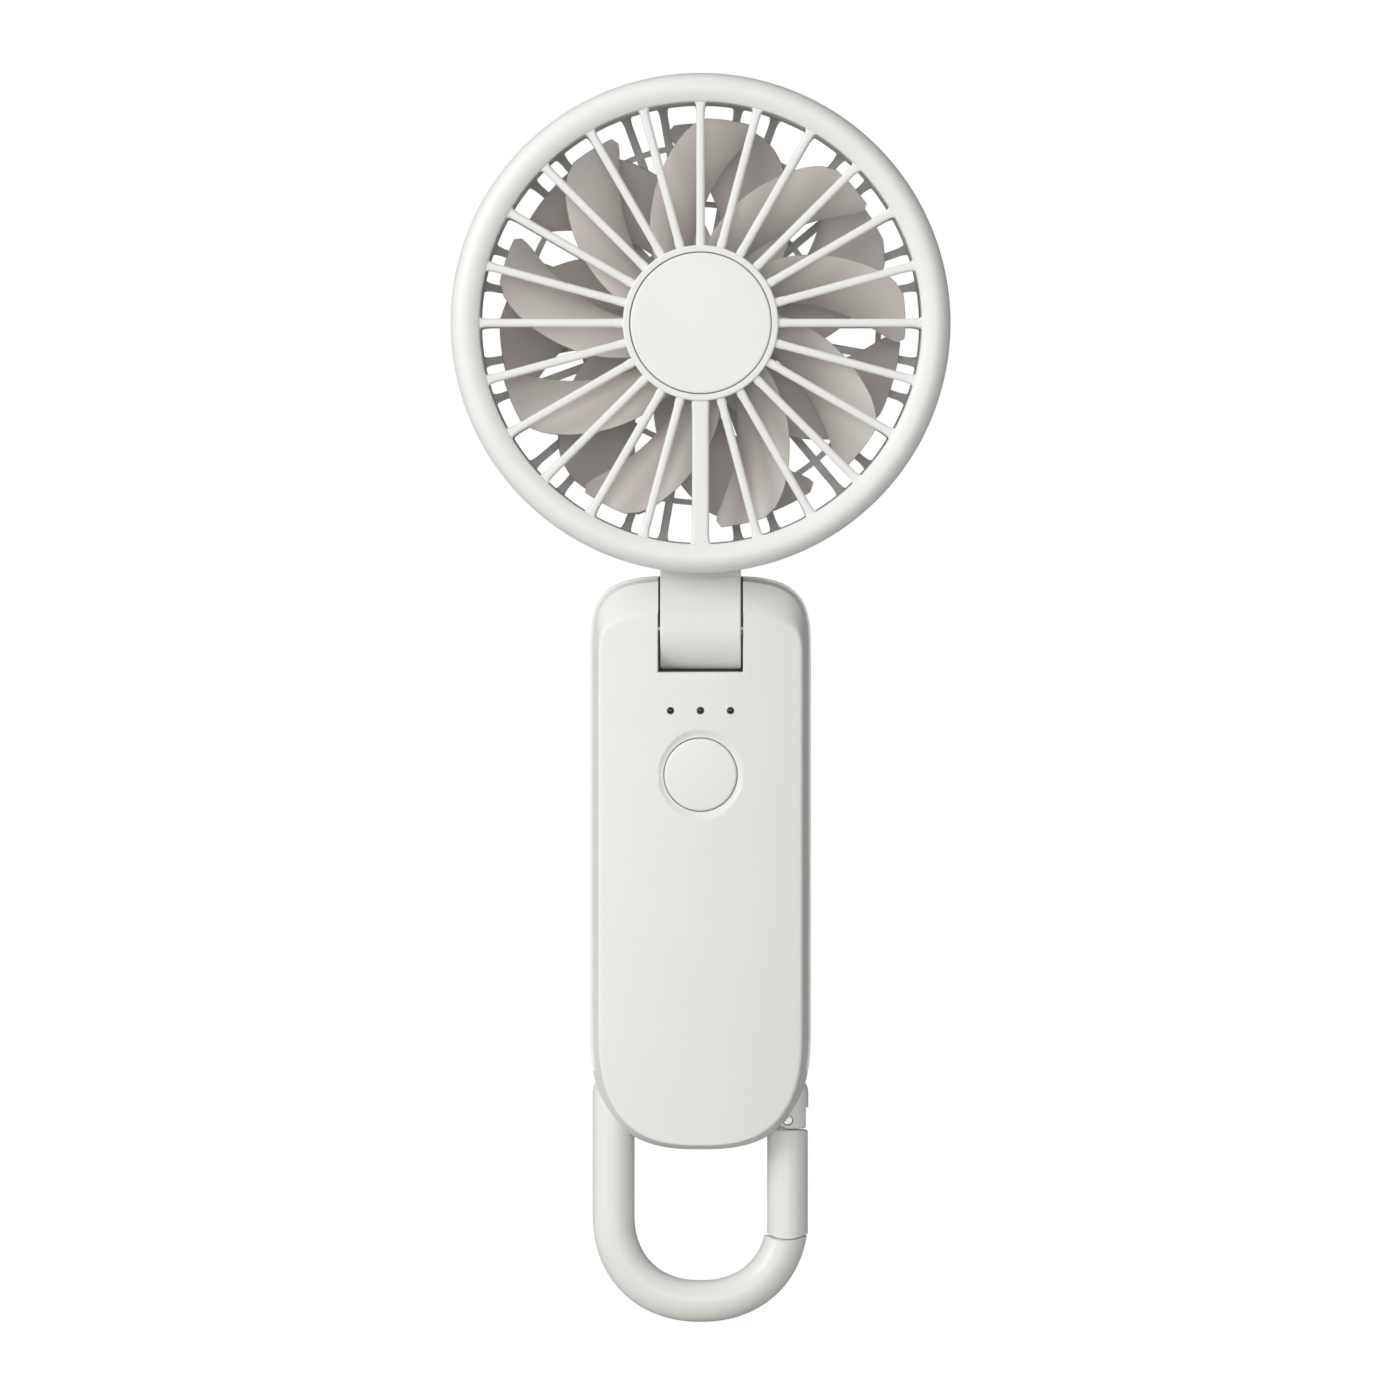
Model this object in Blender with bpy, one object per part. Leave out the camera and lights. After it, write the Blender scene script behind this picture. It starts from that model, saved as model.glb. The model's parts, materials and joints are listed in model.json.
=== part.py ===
"""A pocket electric fan with two counter-turning rotors, a folding head and a swinging clip.

Frame: metres, +Z up along the handle, the blowing side faces -Y, +X to the right.
The origin is the middle of the handle, where a hand holds it.
"""

import math

import bmesh
import bpy
from mathutils import Matrix, Vector

# Clearances
FIT = 0.0003            # between pieces that touch
SEAM_GAP = 0.0003       # between the two handle shells
CLIP_GAP = 0.0004       # round the clip's arms
BEARING_GAP = 0.00015   # between a shaft and its bush

# Handle
HANDLE_LENGTH = 0.1016
HANDLE_WIDTH = 0.0390
HANDLE_THICKNESS = 0.0220
WALL = 0.0016
SHOULDER_HEIGHT = 0.0154
SHOULDER_POWER = 4.0
TOE_HEIGHT = 0.0220
TOE_POWER = 2.7
FRONT_TAPER = 0.0015             # how far the front shell's sides lean in towards its face
FRONT_EDGE = 0.0005              # radius of the edge round the face
FACE_CROWN = 0.0018              # fall of the face from its middle to its sides
TOE_FALL = 0.0016                # further fall of the face down to the lower end
CROWN_START = 0.0020             # height at which the face starts to fall to the lower end
BACK_ROUND = (0.0026, 0.0042)    # across and along the depth
BEVEL_HEIGHT = 0.0064
BEVEL_DEPTH = 0.0045

# Head
HEAD_RADIUS = 0.0440
HEAD_DEPTH = 0.0340
HEAD_GAP = 0.0005
RIM_DEPTH = 0.0052
RIM_WIDTH = 0.0050
RIM_CREST = 0.0026               # from the rim's outside in to its foremost line, and back again
RIM_CURVE = 0.0039               # radius of the rim's face inside that line
RIM_ROUND = 0.0032               # depth of the rim's round outside
ROUND_STEPS = 48                 # steps round the head
SLEEVE_RADIUS = 0.0389
SLEEVE_WALL = 0.0012
DUCT_WALL = 0.0017
SPOKE_WIDTH = 0.0015
SPOKE_DEPTH = 0.0026
SPOKE_SETBACK = 0.0010           # from the rim's foremost line back to a spoke
LEAD_SPOKE_WIDTH = 0.0030
FRONT_SPOKES = 24
REAR_SPOKES = 36
REAR_SPOKE_WIDTH = 0.0014
RIB_RADII = (0.0214, 0.0317)
RIB_WIDTH = 0.0010
HUB_RADIUS = 0.0137
REAR_HUB_RADIUS = 0.0150
HUB_WALL = 0.0010
HUB_PLATE = 0.0012
HUB_SETBACK = 0.0006             # from the rim's foremost line back to the hub
CAP_ROOM = 0.0032                # from the hub's face back to its motor plate
CAP_THICKNESS = 0.0016

# Rotors and motors
CUP_RADIUS = 0.0129
CUP_WALL = 0.0012
FRONT_TIP = 0.0361
REAR_TIP = 0.0356
BLADE_CHORD_DEPTH = 0.0060
BLADE_START = 0.0138             # radius from which a blade's edges are measured
BLADE_THICKNESS = 0.0011
FRONT_BLADES = 9
REAR_BLADES = 7
SHAFT_RADIUS = 0.0010
BUSH_WALL = 0.0011
TUBE_WALL = 0.0012
STATOR_RADIUS = 0.0094
STATOR_TEETH = 9
MAGNET_WALL = 0.0011
MOTOR_BOARD = 0.0007
SHAFT_RING_RADIUS = 0.0020
SHAFT_GROOVE = 0.6               # share of the shaft's radius left in its groove

# Head hinge
BARREL_RADIUS = 0.0069
KNUCKLE_WIDTH = 0.01425
SLOT_SIDE_GAP = 0.00045
SLOT_GAP = 0.0006
HINGE_DROP = 0.0096              # from the handle's top down to the hinge axis
HINGE_PIN_RADIUS = 0.0015
CHEEK = 0.0046
PIN_END_ROOM = 0.000325          # from the cheeks' outer faces to the pin seat's ends
FRICTION_RING = (0.0021, 0.0044, 0.0011)   # inner radius, outer radius, thickness
LEAD_WAY = 0.0017                # radius of the lead's way through the neck

# Button and lamps
BUTTON_RADIUS = 0.0064
BUTTON_GAP = 0.00025
BUTTON_TRAVEL = 0.0005
BUTTON_Z = 0.0157
DISH_RADIUS = 0.0079
DISH_DEPTH = 0.0004
LAMP_RADIUS = 0.00054
LAMP_PITCH = 0.0053
LAMP_Z = 0.0270

# Inside the handle
BOARD_THICKNESS = 0.0010
SWITCH_HEIGHT = 0.0020
PLUNGER_HEIGHT = 0.0003
PORT_DEPTH = 0.0073
PORT_WIDTH = 0.0090
PORT_HEIGHT = 0.0032
PORT_Z = -0.0254
PORT_RECESS = 0.0005
CELL_SIZE = (0.0226, 0.0074, 0.0560)
PAD_THICKNESS = 0.0010
SCREW_RADIUS = 0.00095
SCREW_HEAD_RADIUS = 0.0017
POST_RADIUS = 0.0024
REAR_POST_RADIUS = 0.0026
SCREW_INSET = 0.0052             # from the handle's side to a screw

# Clip
ARM_RADIUS = 0.0037
CLIP_LENGTH = 0.0405             # pivot to the outside of the bow
CLIP_DROP = 0.0098               # pivot above the handle's lower end
CLIP_POWER = 2.2
BAR_RADIUS = 0.0020
GATE_TOP_DROP = 0.0064
NOSE_DROP = 0.0260
NOSE_RIDGE = 0.0009
GATE_PIN_RADIUS = 0.0008
GATE_PIN_LENGTH = 0.0058
GATE_PIN_DROP = 0.0046
FORK_HALF_WIDTH = 0.00175
TONGUE_THICKNESS = 0.0022
TONGUE_RADIUS = 0.0019
GATE_OPENING = math.radians(24)

# Places that follow from the sizes above
TOP = HANDLE_LENGTH / 2
BOTTOM = -HANDLE_LENGTH / 2
FRONT = -HANDLE_THICKNESS / 2
BACK = HANDLE_THICKNESS / 2
HINGE_Y = FRONT + BARREL_RADIUS
HINGE_Z = TOP - HINGE_DROP
SEAM_Y = HINGE_Y
HEAD_Z = TOP + HEAD_GAP + HEAD_RADIUS
HEAD_FRONT = -HEAD_DEPTH / 2
HEAD_BACK = HEAD_DEPTH / 2
SLOT_HALF = KNUCKLE_WIDTH / 2 + SLOT_SIDE_GAP
PIN_SEAT_HALF = SLOT_HALF + CHEEK + PIN_END_ROOM
ARM_X = HANDLE_WIDTH / 2 - ARM_RADIUS - CLIP_GAP
ARM_Y = SEAM_Y - SEAM_GAP / 2 + CLIP_GAP + ARM_RADIUS
CLIP_Z = BOTTOM + CLIP_DROP
POCKET_X = ARM_X - ARM_RADIUS - CLIP_GAP
POCKET_TOP = CLIP_Z + ARM_RADIUS + CLIP_GAP
LUG_BOTTOM = CLIP_Z - BAR_RADIUS - CLIP_GAP - WALL
LUG_BACK = ARM_Y + BAR_RADIUS + CLIP_GAP + WALL + 0.0008
SEAM_DEPTH = SEAM_Y - SEAM_GAP / 2 - FRONT
NECK_TOP = HEAD_Z - HEAD_RADIUS + 0.0011
BORE_START = FRONT + FACE_CROWN + WALL
SCREW_TIP = BORE_START + 0.0004
SCREW_SEAT = BACK - 0.0040

# Places along the head's axis, as distances from the middle of the head
PLATE_Y = HEAD_DEPTH / 2 - HUB_SETBACK - CAP_ROOM - HUB_PLATE
CUP_OPEN = PLATE_Y - 0.0014
CUP_CLOSED = 0.0010
CUP_FLOOR = CUP_CLOSED + 0.0014
BLADE_OUTER = CUP_OPEN - 0.0010
TUBE_END = CUP_FLOOR + 0.0007
BUSH_END = CUP_FLOOR + 0.0022
STATOR_END = CUP_FLOOR + 0.0025
MAGNET_END = CUP_FLOOR + 0.0012
SHAFT_END = CUP_CLOSED + FIT
GROOVE_Y = HEAD_DEPTH / 2 - HUB_SETBACK - CAP_ROOM - 0.0008
SPIN_Y = 0.0060
BOARD_FRONT = FRONT + 0.0064
BOARD_BACK = BOARD_FRONT + BOARD_THICKNESS
PORT_Y = BOARD_BACK + FIT + PORT_HEIGHT / 2
CELL_Y = BOARD_BACK + FIT + PORT_HEIGHT + FIT + CELL_SIZE[1] / 2
CELL_Z = POCKET_TOP + WALL + FIT + CELL_SIZE[2] / 2
SCREW_PLACES = [
    (side * x, z)
    for x, z in (
        (HANDLE_WIDTH / 2 - SCREW_INSET, TOP - 0.0230),
        (HANDLE_WIDTH / 2 - SCREW_INSET, POCKET_TOP + 0.0039),
    )
    for side in (-1, 1)
]


def clear_scene():
    for obj in list(bpy.data.objects):
        bpy.data.objects.remove(obj)


def material(name, colour, roughness, metallic=0.0):
    made = bpy.data.materials.new(name)
    made.use_nodes = True
    shader = made.node_tree.nodes["Principled BSDF"]
    shader.inputs["Base Color"].default_value = (*colour, 1.0)
    shader.inputs["Roughness"].default_value = roughness
    shader.inputs["Metallic"].default_value = metallic
    made.diffuse_color = (*colour, 1.0)
    return made


def object_from(name, bm):
    """An object that holds the bmesh as triangles, its faces turned outwards."""
    bmesh.ops.triangulate(bm, faces=bm.faces)
    bmesh.ops.recalc_face_normals(bm, faces=bm.faces)
    mesh = bpy.data.meshes.new(name)
    bm.to_mesh(mesh)
    bm.free()
    obj = bpy.data.objects.new(name, mesh)
    bpy.context.scene.collection.objects.link(obj)
    return obj


def finish(obj, surface, parent):
    """Give a piece its material, smooth round faces and the empty it hangs from."""
    obj.data.materials.clear()
    obj.data.materials.append(surface)
    obj.data.shade_smooth()
    obj.data.set_sharp_from_angle(angle=math.radians(35))
    obj.parent = parent
    obj.matrix_parent_inverse = parent.matrix_world.inverted()
    return obj


def pivot(name, place, parent=None):
    empty = bpy.data.objects.new(name, None)
    empty.empty_display_size = 0.01
    empty.location = place
    bpy.context.scene.collection.objects.link(empty)
    bpy.context.view_layer.update()
    if parent:
        empty.parent = parent
        empty.matrix_parent_inverse = parent.matrix_world.inverted()
    bpy.context.view_layer.update()
    return empty


def combine(body, tool, operation, solver="EXACT"):
    """Apply one Boolean of the tool to the body, then remove the tool."""
    change = body.modifiers.new("shape", "BOOLEAN")
    change.operation = operation
    change.solver = solver
    change.object = tool
    graph = bpy.context.evaluated_depsgraph_get()
    shaped = bpy.data.meshes.new_from_object(body.evaluated_get(graph))
    body.modifiers.clear()
    body.data = shaped
    bpy.data.objects.remove(tool)
    return body


def cut(body, *tools, solver="EXACT"):
    for tool in tools:
        combine(body, tool, "DIFFERENCE", solver)
    return body


def join(body, *tools, solver="EXACT"):
    for tool in tools:
        combine(body, tool, "UNION", solver)
    return body


def box(name, low, high):
    bm = bmesh.new()
    middle = (Vector(low) + Vector(high)) / 2
    size = Vector(high) - Vector(low)
    bmesh.ops.create_cube(bm, size=1, matrix=Matrix.Translation(middle) @ Matrix.Diagonal((*size, 1)))
    return object_from(name, bm)


def loft(name, loops, zipped=False):
    """A closed solid through loops of equally many points, capped at both ends.

    The first end of a zipped loft is closed by strips from side to side.
    """
    bm = bmesh.new()
    rows = [[bm.verts.new(point) for point in loop] for loop in loops]
    for near, far in zip(rows, rows[1:]):
        for i in range(len(near)):
            j = (i + 1) % len(near)
            bm.faces.new((near[i], near[j], far[j], far[i]))
    if zipped:
        end, size = rows[0], len(rows[0])
        for i in range(size // 2):
            strip = (end[i], end[i + 1], end[size - i - 1], end[-i] if i else end[0])
            bm.faces.new(tuple(dict.fromkeys(strip)))
    else:
        bm.faces.new(rows[0])
    bm.faces.new(rows[-1])
    return object_from(name, bm)


def turned(name, profile, centre, steps=32, axis="Y"):
    """A profile of (radius, distance along the axis) turned round an axis through the centre.

    A profile that starts and ends on the axis makes a solid, any other one a ring.
    """
    bm = bmesh.new()
    rows = []
    for i in range(steps):
        angle = 2 * math.pi * i / steps
        row = []
        for radius, along in profile:
            across, up = radius * math.sin(angle), radius * math.cos(angle)
            local = {"Y": (across, along, up), "X": (along, across, up), "Z": (across, up, along)}[axis]
            row.append(bm.verts.new(Vector(local) + Vector(centre)))
        rows.append(row)
    closed = profile[0][0] > 0
    last = len(profile) if closed else len(profile) - 1
    for near, far in zip(rows, rows[1:] + rows[:1]):
        for i in range(last):
            j = (i + 1) % len(profile)
            bm.faces.new((near[i], near[j], far[j], far[i]))
    bmesh.ops.remove_doubles(bm, verts=bm.verts, dist=1e-7)
    return object_from(name, bm)


def rod(name, radius, start, end, centre, steps=20, axis="Y"):
    profile = [(0, start), (radius, start), (radius, end), (0, end)]
    return turned(name, profile, centre, steps, axis)


def ring(name, inner, outer, start, end, centre, steps=32, axis="Y"):
    profile = [(inner, start), (outer, start), (outer, end), (inner, end)]
    return turned(name, profile, centre, steps, axis)


def swept(name, points, radii, sides):
    """A round bar along a route in a plane of constant Y, with a radius at each point."""
    loops = []
    for i, (point, radius) in enumerate(zip(points, radii)):
        before = points[max(i - 1, 0)]
        after = points[min(i + 1, len(points) - 1)]
        heading = (after - before).normalized()
        across = heading.cross(Vector((0, 1, 0))).normalized()
        turns = [2 * math.pi * k / sides for k in range(sides)]
        loops.append(
            [point + radius * (math.cos(t) * across + math.sin(t) * Vector((0, 1, 0))) for t in turns]
        )
    return loft(name, loops)


def round_top(x):
    """Points and radii of the clip's domed end above the bar, from the tip down."""
    angles = [math.radians(angle) for angle in (84, 60, 36, 14)]
    points = [Vector((x, ARM_Y, CLIP_Z + ARM_RADIUS * math.sin(a))) for a in angles]
    return points, [ARM_RADIUS * math.cos(a) for a in angles]


def lead(name, points, radius, surface, parent):
    """A wire as a round tube through a smooth curve near its route's points."""
    data = bpy.data.curves.new(name, "CURVE")
    data.dimensions = "3D"
    data.bevel_depth = radius
    data.bevel_resolution = 1
    data.use_fill_caps = True
    spline = data.splines.new("POLY")
    smooth = []
    for i in range(len(points) - 1):
        before = Vector(points[max(i - 1, 0)])
        start, end = Vector(points[i]), Vector(points[i + 1])
        after = Vector(points[min(i + 2, len(points) - 1)])
        for step in range(3):
            t = step / 3
            smooth.append(
                start
                + 0.5 * t * (end - before)
                + t * t * (before - 2.5 * start + 2 * end - 0.5 * after)
                + t * t * t * (1.5 * (start - end) + 0.5 * (after - before))
            )
    smooth.append(Vector(points[-1]))
    spline.points.add(len(smooth) - 1)
    for place, point in zip(spline.points, smooth):
        place.co = (*point, 1)
    obj = bpy.data.objects.new(name, data)
    bpy.context.scene.collection.objects.link(obj)
    data.materials.append(surface)
    obj.parent = parent
    obj.matrix_parent_inverse = parent.matrix_world.inverted()
    return obj


def handle_outline(y, inset, drop, quarter_steps=7):
    """The handle's outline in front view at one depth: straight sides between two soft ends."""
    half = HANDLE_WIDTH / 2 - inset
    drop = max(drop, inset)
    top_reach = max(SHOULDER_HEIGHT - drop, 0.45 * half)
    upper, lower = TOP - drop - top_reach, BOTTOM + TOE_HEIGHT
    bottom_reach = TOE_HEIGHT - inset
    points = []
    for i in range(quarter_steps + 1):
        t = math.pi / 2 * i / quarter_steps
        across, along = math.cos(t), math.sin(t)
        points.append(
            (half * across ** (2 / SHOULDER_POWER), upper + top_reach * along ** (2 / SHOULDER_POWER))
        )
    lower_side = []
    for i in range(quarter_steps + 1):
        t = math.pi / 2 * i / quarter_steps
        across, along = math.cos(t), math.sin(t)
        lower_side.append(
            (half * across ** (2 / TOE_POWER), lower - bottom_reach * along ** (2 / TOE_POWER))
        )
    right = list(reversed(lower_side)) + points
    left = [(-x, z) for x, z in reversed(right[1:-1])]
    return [Vector((x, y, z)) for x, z in right + left]


def rounding(depth, size):
    """How far a rounded edge steps in at a depth below the face it rounds to."""
    across, along = size
    if depth >= along:
        return 0.0
    return across * (1 - math.sqrt(1 - (1 - depth / along) ** 2))


def face_fall(x, z):
    """How far the crowned face lies behind its foremost line."""
    toe_share = max(0.0, (CROWN_START - z) / (CROWN_START - BOTTOM))
    return FACE_CROWN * (2 * x / HANDLE_WIDTH) ** 2 + TOE_FALL * toe_share ** 2


def front_level(depth, shrink, inward=0.0):
    """Outline of the front half: leaning sides, and a bevel where the folding head passes.

    The crown fades out towards the seam; inward draws a ring on the face in from its edge.
    """
    fade = max(0.0, 1 - depth / SEAM_DEPTH)
    inset = FRONT_TAPER * fade + rounding(depth, (FRONT_EDGE, FRONT_EDGE)) + shrink + inward
    drop = BEVEL_HEIGHT * max(0.0, 1 - depth / BEVEL_DEPTH) + shrink + inward
    outline = handle_outline(FRONT + depth, inset, drop)
    return [point + Vector((0, fade * face_fall(point.x, point.z), 0)) for point in outline]


def back_level(depth, shrink):
    inset = rounding(depth, BACK_ROUND) + shrink
    return handle_outline(BACK - depth, inset, inset)


def at_screws(name, radius, start, end, steps=16):
    """One rod along Y at each shell screw, to add as a post or cut as a bore."""
    return [rod(name, radius, start, end, (x, 0, z), steps) for x, z in SCREW_PLACES]


def hinge_block(name, start, end):
    """Solid cheeks and floor that the hinge slot is cut from."""
    outer = SLOT_HALF + CHEEK
    low = HINGE_Z - BARREL_RADIUS - SLOT_GAP - WALL
    return box(name, (-outer, start, low), (outer, end, TOP + 0.001))


def hinge_slot(name):
    """Room for the knuckle: open to the front and the top, round at the bottom."""
    reach = BARREL_RADIUS + SLOT_GAP
    centre = (0, HINGE_Y, HINGE_Z)
    tool = rod(name, reach, -SLOT_HALF, SLOT_HALF, centre, 32, "X")
    start, end = FRONT - 0.005, TOP + 0.010
    front = box("slot_front", (-SLOT_HALF, start, HINGE_Z - reach), (SLOT_HALF, HINGE_Y, end))
    upper = box("slot_upper", (-SLOT_HALF, start, HINGE_Z), (SLOT_HALF, HINGE_Y + reach, end))
    join(front, upper)
    return join(tool, front)


def arm_pockets(clearance, start):
    """The room round the lug on the handle's lower end, in which the clip and its gate swing."""
    inner = POCKET_X - clearance
    top = POCKET_TOP + clearance
    outer = HANDLE_WIDTH
    floor = BOTTOM - 0.01
    return [
        box("pocket_right", (inner, start, floor), (outer, BACK + 0.01, top)),
        box("pocket_left", (-outer, start, floor), (-inner, BACK + 0.01, top)),
        box("pocket_back", (-outer, LUG_BACK - clearance, floor), (outer, BACK + 0.01, top)),
        box("pocket_low", (-outer, start, floor), (outer, BACK + 0.01, LUG_BOTTOM + clearance)),
    ]


def hinge_pin_seat():
    hinge = (0, HINGE_Y, HINGE_Z)
    return rod("pin_seat", HINGE_PIN_RADIUS + FIT, -PIN_SEAT_HALF, PIN_SEAT_HALF, hinge, 20, "X")


def cut_shell(shell, *tools):
    """The shells' walls, posts and bores lie too close together for the exact solver."""
    return cut(shell, *tools, solver="MANIFOLD")


def join_shell(shell, *tools):
    return join(shell, *tools, solver="MANIFOLD")


def front_shell(surface, parent):
    end = FRONT + SEAM_DEPTH
    face_rings = [front_level(0, 0, share * HANDLE_WIDTH / 2) for share in (0.78, 0.52, 0.26)]
    sides = [FRONT_EDGE * part for part in (0.0, 0.30, 1.0)] + [0.5 * BEVEL_DEPTH, BEVEL_DEPTH, SEAM_DEPTH]
    shell = loft("front_shell", face_rings + [front_level(depth, 0) for depth in sides], zipped=True)
    inner_rings = [front_level(WALL, WALL, share * HANDLE_WIDTH / 2) for share in (0.70, 0.35)]
    inner_depths = [WALL, 2 * WALL, BEVEL_DEPTH + WALL / 2, SEAM_DEPTH]
    inner_rings += [front_level(depth, WALL) for depth in inner_depths]
    inner_rings.append([point + Vector((0, 0.001, 0)) for point in inner_rings[-1]])
    hollow = loft("hollow", inner_rings, zipped=True)
    cut_shell(hollow, *arm_pockets(WALL, FRONT), hinge_block("slot_block", FRONT, end + 0.002))
    cut_shell(shell, hollow, hinge_slot("slot"), hinge_pin_seat())
    for x, z in SCREW_PLACES:
        fall = face_fall(abs(x) + POST_RADIUS, z - POST_RADIUS)
        join_shell(shell, rod("post", POST_RADIUS, FRONT + fall + WALL / 4, end - FIT, (x, 0, z)))
    cut_shell(shell, *at_screws("bore", SCREW_RADIUS + BEARING_GAP, BORE_START, end + 0.001))
    hold = BAR_RADIUS + CLIP_GAP
    bar_post_half = POCKET_X - WALL - 2 * FIT
    post_half_height = 0.0010
    post_start = FRONT + face_fall(bar_post_half, CLIP_Z - post_half_height) + WALL / 4
    post = box(
        "bar_post",
        (-bar_post_half, post_start, CLIP_Z - post_half_height),
        (bar_post_half, ARM_Y - hold, CLIP_Z + post_half_height),
    )
    join_shell(shell, post)
    hole = BUTTON_RADIUS + BUTTON_GAP
    dish = turned(
        "dish",
        [(0, -0.002), (DISH_RADIUS * 1.6, -0.002), (hole, DISH_DEPTH), (0, DISH_DEPTH)],
        (0, FRONT, BUTTON_Z),
        32,
    )
    cut_shell(shell, dish, rod("button_hole", hole, -0.004, 0.004, (0, FRONT, BUTTON_Z), 32))
    for i in (-1, 0, 1):
        place = (i * LAMP_PITCH, FRONT, LAMP_Z)
        cut_shell(shell, rod("lamp_hole", LAMP_RADIUS + BEARING_GAP, -0.001, 0.003, place, 12))
    return finish(shell, surface, parent)


def rear_shell(surface, parent):
    start = SEAM_Y + SEAM_GAP / 2
    seam_depth = BACK - start
    rounds = [BACK_ROUND[1] * part for part in (0.0, 0.08, 0.30, 0.62, 1.0)]
    shell = loft("rear_shell", [back_level(depth, 0) for depth in rounds + [seam_depth]])
    hollow_depths = [WALL, 0.0034, BACK_ROUND[1] + WALL, seam_depth + 0.001]
    hollow = loft("hollow", [back_level(depth, WALL) for depth in hollow_depths])
    cut(hollow, *arm_pockets(WALL, FRONT))
    slot_back = HINGE_Y + BARREL_RADIUS + SLOT_GAP + WALL
    cut(hollow, hinge_block("slot_block", start - 0.002, slot_back))
    cut_shell(shell, hollow, *arm_pockets(0, FRONT), hinge_slot("slot"), hinge_pin_seat())
    hold = BAR_RADIUS + CLIP_GAP
    reach = POCKET_X + 0.001
    cut_shell(
        shell,
        box("bar_channel", (-reach, start - 0.001, CLIP_Z - hold), (reach, ARM_Y, CLIP_Z + hold)),
        rod("bar_bore", hold, -reach, reach, (0, ARM_Y, CLIP_Z), 24, "X"),
    )
    join_shell(shell, *at_screws("post", REAR_POST_RADIUS, start + FIT, BACK - WALL / 2, 20))
    cut_shell(shell, *at_screws("head_bore", SCREW_HEAD_RADIUS + FIT, SCREW_SEAT, BACK + 0.001, 20))
    cut_shell(shell, *at_screws("shank_bore", SCREW_RADIUS + FIT, start - 0.001, BACK - 0.001))
    side = HANDLE_WIDTH / 2
    port = (PORT_WIDTH / 2 + FIT, PORT_HEIGHT / 2 + FIT)
    cut_shell(
        shell,
        box(
            "port_recess",
            (-side - 0.002, start + 0.0008, PORT_Z - 0.0079),
            (-side + PORT_RECESS, BACK - BACK_ROUND[1], PORT_Z + 0.0079),
        ),
        box(
            "port_mouth",
            (-side - 0.002, PORT_Y - port[1], PORT_Z - port[0]),
            (-side + 0.003, PORT_Y + port[1], PORT_Z + port[0]),
        ),
    )
    return finish(shell, surface, parent)


def head_duct(surface, parent):
    """The head's outer band, with the neck and knuckle that turn on the hinge pin."""
    centre = (0, 0, HEAD_Z)
    start = HEAD_FRONT + RIM_DEPTH + FIT
    inner = HEAD_RADIUS - DUCT_WALL
    half = KNUCKLE_WIDTH / 2
    hinge = (0, HINGE_Y, HINGE_Z)
    knuckle = rod("head_duct", BARREL_RADIUS, -half, half, hinge, 32, "X")
    side_view = [
        (FRONT, HINGE_Z),
        (FRONT, TOP - BEVEL_HEIGHT),
        (FRONT + BEVEL_DEPTH, TOP),
        (FRONT + BEVEL_DEPTH, NECK_TOP),
        (HINGE_Y + BARREL_RADIUS, NECK_TOP),
        (HINGE_Y + BARREL_RADIUS, HINGE_Z),
    ]
    join(knuckle, loft("neck", [[Vector((x, y, z)) for y, z in side_view] for x in (-half, half)]))
    band = ring("band", inner, HEAD_RADIUS, start, -start, centre, ROUND_STEPS)
    join(knuckle, band)
    lead_way_start = HINGE_Z + HINGE_PIN_RADIUS + 0.0020
    cut(knuckle, rod("lead_way", LEAD_WAY, lead_way_start, NECK_TOP + 0.003, (0, -0.0033, 0), 16, "Z"))
    washer = FRICTION_RING[1] + FIT
    for side in (-1, 1):
        deep = sorted((side * (half - FRICTION_RING[2] - FIT), side * (half + 0.001)))
        cut(knuckle, rod("ring_seat", washer, deep[0], deep[1], hinge, 24, "X"))
    cut(knuckle, rod("pin_bore", HINGE_PIN_RADIUS + FIT, -half - 0.001, half + 0.001, hinge, 24, "X"))
    return finish(knuckle, surface, parent)


def rim_profile(front, sign):
    """A soft round rim with a thin sleeve behind it, as (radius, y) points."""
    crest = HEAD_RADIUS - RIM_CREST
    lean = math.asin((RIM_WIDTH - RIM_CREST) / RIM_CURVE)
    arc = []
    for share in (1.0, 0.5):
        t = lean * share
        arc.append((crest - RIM_CURVE * math.sin(t), front + sign * RIM_CURVE * (1 - math.cos(t))))
    for i in range(4):
        t = math.pi / 2 * i / 3
        arc.append((crest + RIM_CREST * math.sin(t), front + sign * RIM_ROUND * (1 - math.cos(t))))
    back = front + sign * RIM_DEPTH
    sleeve = SLEEVE_RADIUS + SLEEVE_WALL
    sleeve_end = -sign * 0.0012
    return arc + [
        (HEAD_RADIUS, back),
        (HEAD_RADIUS - DUCT_WALL - FIT, back),
        (sleeve, back),
        (sleeve, sleeve_end),
        (SLEEVE_RADIUS, sleeve_end),
        (SLEEVE_RADIUS, arc[0][1] + sign * 0.0005),
    ]


def hub_profile(radius, front, sign):
    """Hub wall, motor plate and bearing tube of one guard, as (radius, y) points."""
    bore = SHAFT_RADIUS + BEARING_GAP + BUSH_WALL + BEARING_GAP
    tube = bore + TUBE_WALL
    plate = front + sign * CAP_ROOM
    tube_end = -sign * TUBE_END
    return [
        (radius, front),
        (radius, plate + sign * HUB_PLATE),
        (tube, plate + sign * HUB_PLATE),
        (tube, tube_end),
        (bore, tube_end),
        (bore, plate),
        (radius - HUB_WALL, plate),
        (radius - HUB_WALL, front),
    ]


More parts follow.
